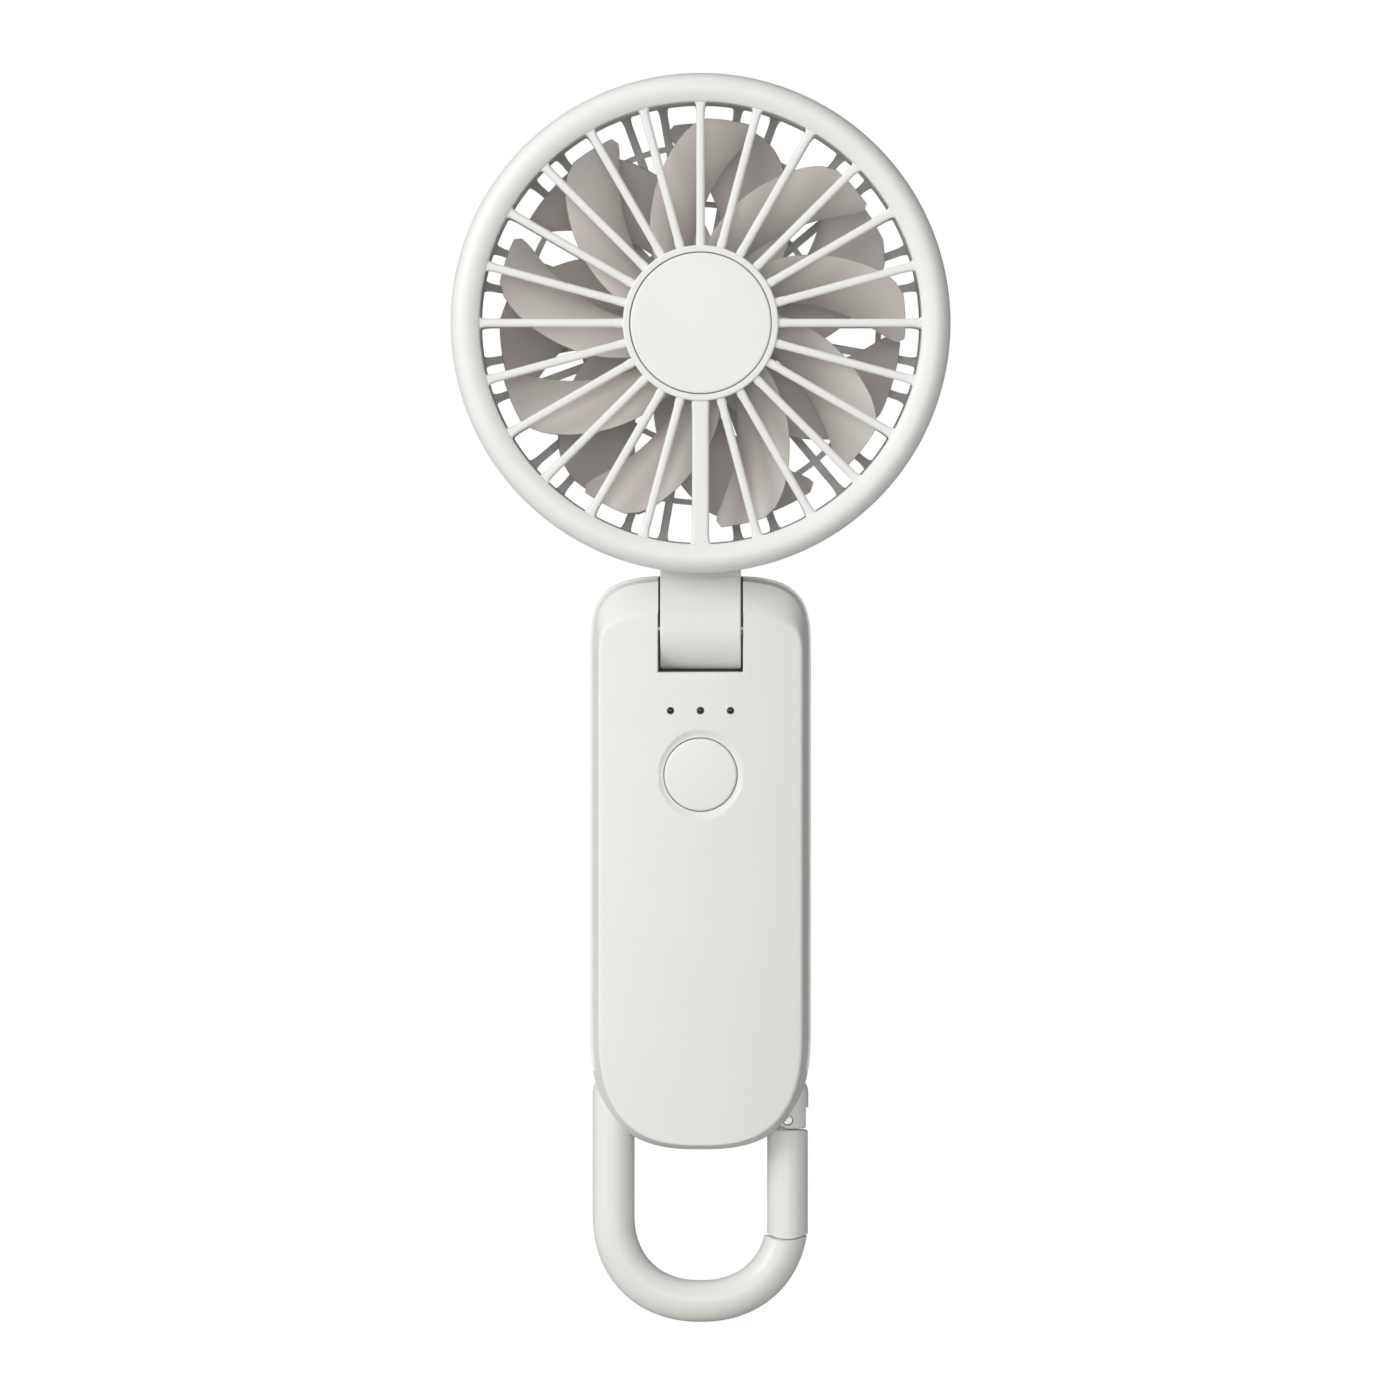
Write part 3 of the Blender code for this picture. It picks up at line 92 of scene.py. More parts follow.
FRONT = shell_low.y
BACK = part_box("rear_shell")[1].y
TOP, BOTTOM = shell_high.z, shell_low.z
HALF_WIDTH = shell_high.x
SEAM = shell_high.y
HINGE = (pin_low + pin_high) / 2
HEAD_Z = (guard_low.z + guard_high.z) / 2
HEAD_RADIUS = guard_high.x
HEAD_FRONT = guard_low.y
KNUCKLE_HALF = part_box("hinge_friction_ring_right")[1].x
CLIP_BAR = Vector(joints["clip_swing"]["pos_m"])
GATE_PIN = (gate_pin_low + gate_pin_high) / 2
ARM_X, ARM_Y = GATE_PIN.x, CLIP_BAR.y
CLIP_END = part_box("clip_frame")[0].z
print("head centre at", round(1000 * HEAD_Z, 1), "mm, hinge at",
      [round(1000 * v, 1) for v in HINGE], "clip bar at", [round(1000 * v, 1) for v in CLIP_BAR])

# %% [markdown]
# ## Colours and node helpers
# Plastic colours are picked as sRGB hex values, the way a designer writes them. The
# shader works in linear light, so one function turns each hex value into linear numbers.
# A second small function adds a node with its settings and links, which keeps each
# material short enough to read.


# %% Turn a hex colour into linear light
def linear(hex_colour):
    channels = [int(hex_colour[i:i + 2], 16) / 255 for i in (1, 3, 5)]
    bent = [c / 12.92 if c <= 0.04045 else ((c + 0.055) / 1.055) ** 2.4 for c in channels]
    return (*bent, 1.0)


def add(tree, kind, settings=None, links=None):
    """One node: settings are its properties or unlinked sockets, links are what feeds it."""
    node = tree.nodes.new(kind)
    for key, value in (settings or {}).items():
        if isinstance(key, str) and hasattr(node, key) and key not in node.inputs:
            setattr(node, key, value)
        else:
            node.inputs[key].default_value = value
    for key, source in (links or {}).items():
        tree.links.new(source, node.inputs[key])
    return node


print("off-white", [round(c, 3) for c in linear("#E6E6E3")])

# %% [markdown]
# ## Moulded plastic
# Nearly every visible piece is injection moulded. The steel mould is spark eroded, so the
# plastic comes out with a fine even grain, and it never has exactly one colour: the
# pigment drifts a little over centimetres, and hands polish some areas more than others.
# The same recipe serves all the mouldings: two close colours mixed by a wide noise, a
# roughness that wanders, and a fine bump. The real grain is about 0.05 mm, too fine to
# show, so it is drawn at 0.2 to 0.35 mm. Two helpers start every material and feed its
# shader, so that a recipe holds only what makes it different.


# %% Start a material and feed its shader
def started(name, colour):
    """A new material with its node tree, its shader and the Object coordinates."""
    made = bpy.data.materials.new(name)
    made.use_nodes = True
    made.diffuse_color = linear(colour)
    tree = made.node_tree
    place = add(tree, "ShaderNodeTexCoord").outputs["Object"]
    return made, tree, tree.nodes["Principled BSDF"], place


def surfaced(tree, shader, tones, share, **fed):
    """Feed the shader a mix of two colours and whatever else is named."""
    light, dark = (linear(tone) for tone in tones)
    tone = add(tree, "ShaderNodeMix", {"data_type": "RGBA", 6: light, 7: dark}, {0: share})
    tree.links.new(tone.outputs[2], shader.inputs["Base Color"])
    for label, source in fed.items():
        tree.links.new(source, shader.inputs[label])


# %% Build the moulded plastics
def moulded(name, light, dark, roughness, grain_mm, bump_mm, ior=1.53, drift_mm=14.0, polish=0.06):
    made, tree, shader, place = started(name, light)
    shader.inputs["IOR"].default_value = ior
    drift = add(tree, "ShaderNodeTexNoise", {"Scale": 1 / (drift_mm * MM), "Detail": 3.0, "Roughness": 0.55},
                {"Vector": place}).outputs["Fac"]
    least, most = roughness - polish, roughness + polish
    handling = add(tree, "ShaderNodeMapRange",
                   {"From Min": 0.3, "From Max": 0.7, "To Min": least, "To Max": most}, {"Value": drift})
    grain = add(tree, "ShaderNodeTexNoise", {"Scale": 1 / (grain_mm * MM), "Detail": 2.0, "Roughness": 0.6},
                {"Vector": place})
    relief = add(tree, "ShaderNodeBump", {"Strength": 0.35, "Distance": bump_mm * MM},
                 {"Height": grain.outputs["Fac"]})
    surfaced(tree, shader, (light, dark), drift,
             Roughness=handling.outputs["Result"], Normal=relief.outputs["Normal"])
    return made


# ABS with a spark-eroded grain: broad soft highlights, no reflections to speak of.
SHELL_ABS = moulded("abs_fine_spark_grain", "#E7E7E4", "#E4E5E1", 0.52, 0.30, 0.010)
# The guards come from a smoother mould, so their edges catch a little more light.
GUARD_ABS = moulded("abs_satin_guard", "#EAEAE7", "#E6E7E3", 0.46, 0.24, 0.006)
CAP_ABS = moulded("abs_satin_cap", "#EBECE9", "#E8E9E5", 0.44, 0.22, 0.005)
KEY_ABS = moulded("abs_satin_key", "#E8E9E5", "#E6E7E3", 0.48, 0.25, 0.006)
# Polypropylene blades: waxy, warm grey, softer highlights than ABS.
BLADE_PP = moulded("polypropylene_warm_grey_blade", "#DAD3CF", "#D3CCC8", 0.50, 0.28, 0.006, 1.49)
# Acetal clip: slippery and slightly glossy, because it has to slide on its bar.
CLIP_ACETAL = moulded("acetal_soft_gloss_clip", "#E6E6E2", "#E2E3DE", 0.34, 0.35, 0.004, 1.48)
NYLON = moulded("nylon_dark_ring", "#3A3A3C", "#323234", 0.55, 0.25, 0.006)
CHIP_EPOXY = moulded("epoxy_moulded_chip", "#26272A", "#1E1F22", 0.50, 0.20, 0.006, drift_mm=2.0)
FERRITE = moulded("pressed_ferrite", "#2C2C2E", "#232325", 0.65, 0.22, 0.012, drift_mm=3.0)
LED_PHOSPHOR = moulded("lamp_phosphor_body", "#EDE7C4", "#E4DDB2", 0.40, 0.20, 0.004, drift_mm=1.0)
PVC_RED = moulded("pvc_red_insulation", "#A32019", "#8F1A14", 0.42, 0.25, 0.004)
PVC_BLACK = moulded("pvc_black_insulation", "#1B1B1C", "#141415", 0.42, 0.25, 0.004)
CELL_SLEEVE = moulded("shrink_sleeve_grey", "#A9ADB2", "#9DA2A8", 0.34, 0.40, 0.008)
print("visible plastics:", [m.name for m in (SHELL_ABS, GUARD_ABS, CAP_ABS, KEY_ABS, BLADE_PP, CLIP_ACETAL)])

# %% [markdown]
# ## Metals, laminate, foam and the lamp windows
# The few pieces that aren't moulded plastic get their own recipes. Turned steel shows
# fine rings round its axis, so its roughness follows a stretched noise. Board laminate
# shows its woven glass as a faint 0.5 mm check under green varnish. Foam is pitted. The
# lamp windows are smoked polycarbonate: nearly black until a lamp behind them is lit.


# %% Build the metals
def metal(name, light, dark, roughness, stretch):
    made, tree, shader, place = started(name, light)
    shader.inputs["Metallic"].default_value = 1.0
    drawn = add(tree, "ShaderNodeMapping", {"Scale": stretch}, {"Vector": place})
    marks = add(tree, "ShaderNodeTexNoise", {"Scale": 1 / (0.6 * MM), "Detail": 4.0},
                {"Vector": drawn.outputs["Vector"]}).outputs["Fac"]
    wear = add(tree, "ShaderNodeMapRange", {"To Min": roughness - 0.08, "To Max": roughness + 0.08},
               {"Value": marks})
    surfaced(tree, shader, (light, dark), marks, Roughness=wear.outputs["Result"])
    return made


STEEL = metal("zinc_plated_steel", "#C9CBCE", "#B4B7BA", 0.28, (1.0, 4.0, 1.0))
LAMINATED_IRON = metal("laminated_silicon_steel", "#8E9095", "#74777C", 0.40, (0.5, 12.0, 0.5))
BRONZE = metal("sintered_bronze", "#B58A56", "#9C7546", 0.42, (1.0, 1.0, 1.0))

print("metals:", STEEL.name, LAMINATED_IRON.name, BRONZE.name)


# %% Build the laminate, the foam and the window plastic
def patterned(name, base, other, roughness, texture, size_mm, bump_mm):
    made, tree, shader, place = started(name, base)
    shader.inputs["Roughness"].default_value = roughness
    pattern = add(tree, texture, {"Scale": 1 / (size_mm * MM)}, {"Vector": place})
    height = pattern.outputs["Fac"] if "Fac" in pattern.outputs else pattern.outputs["Distance"]
    relief = add(tree, "ShaderNodeBump", {"Strength": 0.5, "Distance": bump_mm * MM}, {"Height": height})
    surfaced(tree, shader, (base, other), height, Normal=relief.outputs["Normal"])
    return made


LAMINATE = patterned("green_varnished_laminate", "#1F6A3C", "#2A7A48", 0.35, "ShaderNodeTexChecker", 0.5, 0.004)
FOAM = patterned("closed_cell_foam", "#2A2A2B", "#161617", 0.92, "ShaderNodeTexVoronoi", 0.6, 0.12)
LAMP_WINDOW = moulded("smoked_polycarbonate_window", "#1D1D1E", "#171718", 0.16, 0.30, 0.001, 1.585, 2.0, 0.03)
print("others:", LAMINATE.name, FOAM.name, LAMP_WINDOW.name)

# %% [markdown]
# ## Finishes for the pieces inside
# The pieces inside the handle and the motors keep the shape they have in the frame,
# because it is already right and hardly shows. They only need their real finish, which
# goes into their material slots.

# %% Give the carried-over nodes their finish
INNER_FINISHES = {
    STEEL: ("hinge_pin", "gate_pin", "gate_spring", "front_shaft", "rear_shaft", "front_shaft_ring",
            "rear_shaft_ring"),
    LAMINATED_IRON: ("front_stator", "rear_stator"),
    BRONZE: ("front_bush", "rear_bush"),
    FERRITE: ("front_magnet_ring", "rear_magnet_ring"),
    NYLON: ("hinge_friction_ring_left", "hinge_friction_ring_right"),
    LAMINATE: ("circuit_board", "front_motor_board", "rear_motor_board"),
    CHIP_EPOXY: ("button_switch", "control_chip", "charge_chip", "power_inductor"),
    LED_PHOSPHOR: ("led_1", "led_2", "led_3"),
    CELL_SLEEVE: ("battery_cell",),
    FOAM: ("battery_pad",),
    PVC_RED: ("battery_lead_red",),
    PVC_BLACK: ("battery_lead_black", "front_motor_lead", "rear_motor_lead"),
}
for finish, names in INNER_FINISHES.items():
    for name in names:
        data = nodes[name].data
        data.materials.clear()
        data.materials.append(finish)
print("finished", sum(len(names) for names in INNER_FINISHES.values()), "inner nodes")

# %% [markdown]
# ## Mesh helpers
# Three ways of making a solid cover almost every moulding: a loft through outlines, a
# profile turned round an axis, and a box. Booleans then cut and join them. The Manifold
# solver is used because it is quick and always returns a closed mesh. When a piece is
# finished, its faces are shaded smooth except across real edges, and weighted normals
# keep broad flat faces flat beside small rounded edges.


# %% Make an object from a bmesh
def solid(name, bm):
    bmesh.ops.remove_doubles(bm, verts=bm.verts, dist=1e-7)
    bmesh.ops.recalc_face_normals(bm, faces=bm.faces)
    mesh = bpy.data.meshes.new(name)
    bm.to_mesh(mesh)
    bm.free()
    made = bpy.data.objects.new(name, mesh)
    bpy.context.scene.collection.objects.link(made)
    return made


def evaluated(piece):
    """Replace a piece's mesh by what its modifiers make of it."""
    graph = bpy.context.evaluated_depsgraph_get()
    mesh = bpy.data.meshes.new_from_object(piece.evaluated_get(graph))
    piece.modifiers.clear()
    piece.data = mesh
    return piece


def combine(body, operation, tools):
    for tool in tools:
        change = body.modifiers.new("combine", "BOOLEAN")
        change.operation, change.solver, change.object = operation, "MANIFOLD", tool
        evaluated(body)
        bpy.data.objects.remove(tool)
    return body


def cut(body, *tools):
    return combine(body, "DIFFERENCE", tools)


def join(body, *tools):
    return combine(body, "UNION", tools)


# %% [markdown]
# A loft takes loops of equally many points. A turned profile is a list of pairs, radius
# and distance along the axis: if it starts on the axis it makes a solid, otherwise a ring.
# Profiles are written in millimetres, or as depths that count back from a face.


# %% Loft, turn and box
def loft(name, loops, zipped=False):
    """Join loops of points. A zipped end is closed by strips from side to side."""
    bm = bmesh.new()
    rows = [[bm.verts.new(point) for point in loop] for loop in loops]
    for near, far in zip(rows, rows[1:]):
        for i in range(len(near)):
            j = (i + 1) % len(near)
            bm.faces.new((near[i], near[j], far[j], far[i]))
    bm.faces.new(rows[0])
    if zipped:
        last, size = rows[-1], len(rows[-1])
        for i in range(size // 2):
            strip = (last[i], last[i + 1], last[size - i - 1], last[-i] if i else last[0])
            bm.faces.new(tuple(dict.fromkeys(strip)))
    else:
        bm.faces.new(rows[-1])
    return solid(name, bm)


def turned(name, profile, centre, steps=64, axis="Y"):
    bm = bmesh.new()
    rows = []
    for i in range(steps):
        angle = 2 * math.pi * i / steps
        row = []
        for radius, along in profile:
            across, up = radius * math.sin(angle), radius * math.cos(angle)
            local = {"Y": (across, along, up), "X": (along, across, up), "Z": (across, up, along)}[axis]
            row.append(bm.verts.new(Vector(local) + Vector(centre)))
        rows.append(row)
    last = len(profile) if profile[0][0] > 0 else len(profile) - 1
    for near, far in zip(rows, rows[1:] + rows[:1]):
        for i in range(last):
            j = (i + 1) % len(profile)
            bm.faces.new((near[i], near[j], far[j], far[i]))
    bmesh.ops.remove_doubles(bm, verts=bm.verts, dist=1e-7)
    return solid(name, bm)


def rod(name, radius, start, end, centre, steps=48, axis="Y"):
    return turned(name, [(0, start), (radius, start), (radius, end), (0, end)], centre, steps, axis)


def box(name, low, high):
    bm = bmesh.new()
    middle, size = (Vector(low) + Vector(high)) / 2, Vector(high) - Vector(low)
    bmesh.ops.create_cube(bm, size=1, matrix=Matrix.Translation(middle) @ Matrix.Diagonal((*size, 1)))
    return solid(name, bm)


def mm(*pairs):
    """Profile points from millimetres."""
    return [(a * MM, b * MM) for a, b in pairs]


def set_back(profile, face, sign):
    """Profile points from depths behind a face; sign is the way in along Y."""
    return [(radius, face + sign * depth) for radius, depth in profile]


def arc(centre, radii, start_deg, end_deg, steps):
    """Points of an elliptical arc in a profile's plane, for rounded edges."""
    turns = [math.radians(start_deg + (end_deg - start_deg) * i / steps) for i in range(steps + 1)]
    return [(centre[0] + radii[0] * math.cos(t), centre[1] + radii[1] * math.sin(t)) for t in turns]


# %% [markdown]
# Every finished piece gets its material, its body to ride on and the nodes it stands for in one place, so none
# is forgotten.


# %% Settle a finished piece
def settle(piece, material, body, slot, *cad_nodes, angle=32):
    piece.data.materials.clear()
    piece.data.materials.append(material)
    piece.data.shade_smooth()
    piece.data.set_sharp_from_angle(angle=math.radians(angle))
    weighted = piece.modifiers.new("flat_faces_stay_flat", "WEIGHTED_NORMAL")
    weighted.keep_sharp = True
    evaluated(piece)
    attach(piece, body)
    if cad_nodes:
        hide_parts(*cad_nodes)
    print(piece.name, len(piece.data.polygons), "faces on", body)
    return piece


# %% [markdown]
# ## The handle's outline
# In front view the handle is two soft ends joined by straight sides. A superellipse gives
# each end: a power of 2 would be a plain ellipse, and higher powers are squarer. The
# shoulders are squarish, the toe is rounder. The front cover tapers towards its face and
# its top is bevelled, so that the folding head clears it.

# %% Outline of the handle at one depth
WALL = 1.6 * MM
SHOULDER = (15.4 * MM, 4.0)          # height and power of the upper end
TOE = (22.0 * MM, 2.7)
TOE_SHARE = 0.62                     # the toe is drawn in by this share of the inset
FRONT_TAPER = 1.5 * MM               # how far the front cover's sides lean in
FRONT_EDGE = 0.5 * MM                # radius of the edge round the face
BEVEL = (6.4 * MM, 4.5 * MM)         # the top bevel's height and depth
FACE_CROWN = (1.8 * MM, 1.6 * MM)    # fall of the face towards the sides and the toe
CROWN_START = 2.0 * MM               # height at which the face starts to fall to the toe
BACK_ROUND = (2.6 * MM, 4.2 * MM)    # width and depth of the rounded back edge


def end_curve(half, reach, power, steps):
    """A quarter of a superellipse, from the side to the middle."""
    turns = [math.pi / 2 * i / steps for i in range(steps + 1)]
    return [(half * max(0.0, math.cos(t)) ** (2 / power), reach * math.sin(t) ** (2 / power))
            for t in turns]


def outline(inset, drop, end_steps=26, side_steps=40):
    """The outline as (x, z) points, drawn in from the widest one; drop lowers its top."""
    half = HALF_WIDTH - inset
    reach = max(SHOULDER[0] - drop, 0.45 * half)
    upper, lower = TOP - drop - reach, BOTTOM + TOE[0]
    above = [(x, upper + z) for x, z in end_curve(half, reach, SHOULDER[1], end_steps)]
    toe = TOE[0] - TOE_SHARE * inset
    below = [(x, lower - z) for x, z in end_curve(half, toe, TOE[1], end_steps)]
    side = [(half, lower + (upper - lower) * i / side_steps) for i in range(1, side_steps)]
    right = below[::-1] + side + above
    return right + [(-x, z) for x, z in right[-2:0:-1]]


print("outline has", len(outline(0, 0)), "points")

# %% [markdown]
# ## Front cover
# The front cover is a shallow tray. Its face is slightly crowned from side to side and
# falls away towards the toe, which is what makes a long plastic face look soft instead of
# flat. It is lofted as rings: up the tapering side, over the small edge radius, and on
# across the face to the middle, each ring set back by the crown. The inside is a second
# loft, one wall thickness smaller, that is cut away.


# %% Rings of the front cover
SEAM_DEPTH = SEAM - FRONT
BROW, BROW_SHARE = 0.06, 0.36        # how far and how deep the bevel's upper edge is softened


def crown(x, z):
    toe_share = max(0.0, (CROWN_START - z) / (CROWN_START - BOTTOM))
    return FACE_CROWN[0] * (x / HALF_WIDTH) ** 2 + FACE_CROWN[1] * toe_share ** 2


def cover_ring(depth, inset=0.0):
    """One ring of the cover at a depth behind the face, drawn in by the inset."""
    edge = max(0.0, 1 - depth / FRONT_EDGE)
    rounding = FRONT_EDGE * (1 - math.sqrt(1 - edge ** 2))
    fade = 1 - depth / SEAM_DEPTH
    sides = FRONT_TAPER * fade + rounding + inset
    slope = max(0.0, 1 - depth / BEVEL[1])
    brow = BROW * BEVEL[0] * max(0.0, 1 - depth / (BROW_SHARE * BEVEL[1])) ** 3
    drop = max(sides, BEVEL[0] * slope + brow + inset)
    return [Vector((x, FRONT + depth + fade * crown(x, z), z)) for x, z in outline(sides, drop)]


side_depths = [SEAM_DEPTH, BEVEL[1]] + [d * MM for d in (3.9, 3.2, 2.4, 1.7, 1.1, 0.8)]
edge_depths = [FRONT_EDGE * share for share in (1.0, 0.7, 0.45, 0.25, 0.1, 0.02, 0.0)]
face_insets = (0.25, 0.6, 1.1, 1.8, 2.8, 4.0, 5.5, 7.0, 8.5, 10.0, 11.5, 13.0, 14.5, 16.0, 17.2)
rings = [cover_ring(depth) for depth in side_depths + edge_depths]
rings += [cover_ring(0, inset * MM) for inset in face_insets]
front_cover = loft("front_cover", rings, zipped=True)
hollow_depths = [SEAM_DEPTH, BEVEL[1] + WALL / 2, 3.2 * MM, 2.2 * MM, WALL]
front_hollow = loft("front_hollow", [cover_ring(depth, WALL) for depth in hollow_depths])
print("front cover rings:", len(rings))

# %% [markdown]
# ## Cutting the front cover
# Round the hinge, the cover keeps solid cheeks and a floor, and at the lower corners it
# stays solid where the clip's arms lie behind it. The hinge slot is open to the front and
# the top. Its mouth flares over the last 0.8 mm, because a moulded opening has a small
# radius that catches the light. The key sits in a shallow dish, and the three lamp holes
# are only just over a millimetre across.

# %% Tools that both covers share
SLOT_HALF = KNUCKLE_HALF + 0.36 * MM
BARREL = HINGE.y - FRONT
SLOT_REACH = BARREL + 0.5 * MM
BAR_RADIUS = 2.0 * MM
ARM_RADIUS = 3.7 * MM
CLIP_GAP = 0.4 * MM
POCKET_X = ARM_X - ARM_RADIUS - CLIP_GAP
POCKET_TOP = CLIP_BAR.z + ARM_RADIUS + CLIP_GAP
LUG_BOTTOM = CLIP_BAR.z - BAR_RADIUS - CLIP_GAP - WALL
LUG_BACK = ARM_Y + BAR_RADIUS + CLIP_GAP + WALL + 0.8 * MM
FAR = 10 * MM                        # how far a tool reaches past the surface it cuts
CHEEK = 4.6 * MM
SHAFT_BORE = 1.8 * MM                # the hinge pin's bore in every piece that it passes


def cheeks(start, end):
    """The solid block that the hinge slot is cut from."""
    outer = SLOT_HALF + CHEEK
    low = HINGE.z - SLOT_REACH - WALL
    return box("cheeks", (-outer, start, low), (outer, end, TOP + 1 * MM))


def slot_room():
    """The knuckle's room: round at the bottom, open to the front and the top."""
    room = rod("room", SLOT_REACH, -SLOT_HALF, SLOT_HALF, HINGE, 96, "X")
    ahead = box("ahead", (-SLOT_HALF, FRONT - FAR, HINGE.z - SLOT_REACH), (SLOT_HALF, HINGE.y, TOP + FAR))
    above = box("above", (-SLOT_HALF, FRONT - FAR, HINGE.z), (SLOT_HALF, HINGE.y + SLOT_REACH, TOP + FAR))
    return join(room, ahead, above)


def pin_bore(half):
    return rod("pin_bore", SHAFT_BORE, -half, half, HINGE, 32, "X")


def pocket_rooms(clearance, start):
    """Where the clip and its gate swing, round the lug at the handle's lower end."""
    inner, top, outer = POCKET_X - clearance, POCKET_TOP + clearance, 2 * HALF_WIDTH
    low, back = BOTTOM - FAR, BACK + FAR
    return [
        box("right", (inner, start, low), (outer, back, top)),
        box("left", (-outer, start, low), (-inner, back, top)),
        box("behind", (-outer, LUG_BACK - clearance, low), (outer, back, top)),
        box("below", (-outer, start, low), (outer, back, LUG_BOTTOM + clearance)),
    ]


print("slot", round(2000 * SLOT_HALF, 2), "mm wide, lug bottom at", round(1000 * LUG_BOTTOM, 1), "mm")

# %% Flared mouth of the slot, key dish and lamp holes
key_low, key_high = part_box("power_button")
KEY = Vector((0, FRONT, (key_low.z + key_high.z) / 2))
KEY_RADIUS = 6.4 * MM
KEY_HOLE = KEY_RADIUS + 0.14 * MM
LAMPS = [Vector(((low.x + high.x) / 2, FRONT, (low.z + high.z) / 2))
         for low, high in (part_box(f"led_window_{i}") for i in (1, 2, 3))]
LIP = 0.8 * MM


def slot_lip():
    """A frame that widens towards the face along a quarter circle."""
    loops = []
    for step in range(9):
        depth = LIP * (1 - step / 8)
        flare = LIP - math.sqrt(max(0.0, LIP ** 2 - (LIP - depth) ** 2))
        half, low = SLOT_HALF + flare, HINGE.z - SLOT_REACH - flare
        y = FRONT + depth
        corners = ((-half, low), (half, low), (half, TOP), (-half, TOP))
        loops.append([Vector((x, y, z)) for x, z in corners])
    loops.append([point + Vector((0, -FAR, 0)) for point in loops[-1]])
    return loft("lip", loops)


dish = mm((0, -2.0), (13.0, -2.0), (8.3, -0.05), (7.9, 0.06), (7.5, 0.26), (7.1, 0.46))
dish += [(KEY_HOLE + 0.25 * MM, 0.54 * MM)]
dish += arc((KEY_HOLE + 0.2 * MM, 0.74 * MM), (0.2 * MM, 0.2 * MM), 260, 180, 5)
dish += [(KEY_HOLE, 4.0 * MM), (0, 4.0 * MM)]
key_room = turned("key_room", dish, KEY, 128)
lamp_hole = mm((0, -0.5), (0.95, -0.5), (0.72, 0.06), (0.64, 0.2), (0.64, 3), (0, 3))
lamp_rooms = [turned("lamp_room", lamp_hole, lamp, 32) for lamp in LAMPS]
print("key at z", round(1000 * KEY.z, 1), "mm, lamps at", [round(1000 * lamp.x, 1) for lamp in LAMPS])

# %% Cut and settle the front cover
PIN_SEAT_HALF = 12.5 * MM
cut(front_hollow, *pocket_rooms(WALL, FRONT - FAR), cheeks(FRONT - FAR, SEAM + 2 * MM))
cut(front_cover, front_hollow, slot_room(), slot_lip(), key_room, *lamp_rooms, pin_bore(PIN_SEAT_HALF))
settle(front_cover, SHELL_ABS, "handle", "shell_plastic", "front_shell")

# %% [markdown]
# ## Rear cover
# The rear cover is the deeper half. Its back edges are generously rounded for the palm.
# On the left side a shallow recess holds the charging port, and at the lower end both
# corners are open so that the clip's arms can swing, which leaves a central lug that
# carries the clip's bar. Four deep bores take the screws from the back.

# %% Rings and cuts of the rear cover
REAR_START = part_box("rear_shell")[0].y
PORT = (socket_low + socket_high) / 2
SCREWS = [((low.x + high.x) / 2, (low.z + high.z) / 2)
          for low, high in (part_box(f"shell_screw_{i}") for i in (1, 2, 3, 4))]


def back_ring(depth, inset=0.0):
    """One ring of the rear cover at a depth before its back, drawn in by the inset."""
    share = max(0.0, 1 - depth / BACK_ROUND[1])
    inset += BACK_ROUND[0] * (1 - math.sqrt(1 - share ** 2))
    return [Vector((x, BACK - depth, z)) for x, z in outline(inset, inset)]


round_shares = (1.0, 0.85, 0.7, 0.56, 0.43, 0.32, 0.22, 0.14, 0.08, 0.035, 0.01, 0.0)
rear_depth = BACK - REAR_START
rear_rings = [back_ring(rear_depth), back_ring(BACK_ROUND[1] + 4 * MM)]
rear_rings += [back_ring(BACK_ROUND[1] * share) for share in round_shares]
rear_rings += [back_ring(0, inset * MM) for inset in (0.5, 1.5, 4.0, 8.0, 12.0)]
rear_cover = loft("rear_cover", rear_rings)
hollow_depths = [rear_depth + 1 * MM] + [depth * MM for depth in (5.8, 4.4, 3.4, 2.6, 2.0, 1.6)]
rear_hollow = loft("rear_hollow", [back_ring(depth, WALL) for depth in hollow_depths])
cut(rear_hollow, *pocket_rooms(WALL, FRONT), cheeks(REAR_START - 2 * MM, HINGE.y + SLOT_REACH + WALL))
cut(rear_cover, rear_hollow, *pocket_rooms(0, FRONT), slot_room(), pin_bore(PIN_SEAT_HALF))
hold, wide_hold = BAR_RADIUS + CLIP_GAP, POCKET_X + 1 * MM
cut(rear_cover,
    box("channel", (-wide_hold, REAR_START - 1 * MM, CLIP_BAR.z - hold), (wide_hold, ARM_Y, CLIP_BAR.z + hold)),
    rod("bore", hold, -wide_hold, wide_hold, CLIP_BAR, 48, "X"))

# %% Screw posts and wells
POST_RADIUS, SHANK_BORE = 2.6 * MM, 1.25 * MM
well = set_back(mm((0, 4.0), (2.0, 4.0), (2.0, 0.25), (2.25, 0), (2.3, -1), (0, -1)), BACK, -1)
for x, z in SCREWS:
    join(rear_cover, rod("post", POST_RADIUS, REAR_START + 0.3 * MM, BACK - WALL / 2, (x, 0, z), 40))
    cut(rear_cover, turned("well", well, (x, 0, z), 40),
        rod("shank_bore", SHANK_BORE, REAR_START - 1 * MM, BACK - 1 * MM, (x, 0, z), 32))
print("rear cover cut, screws at", [(round(1000 * x, 1), round(1000 * z, 1)) for x, z in SCREWS])


# %% The charging port's recess and mouth
def stadium(x, width, height, steps=12):
    """A slot outline with round ends at one x, lying along z."""
    radius, straight = height / 2, (width - height) / 2
    points = []
    for end, start_deg in ((1, 0), (-1, 180)):
        for i in range(steps + 1):
            t = math.radians(start_deg + 180 * i / steps)
            points.append(Vector((x, PORT.y + radius * math.cos(t),
                                  PORT.z + end * straight + radius * math.sin(t))))
    return points


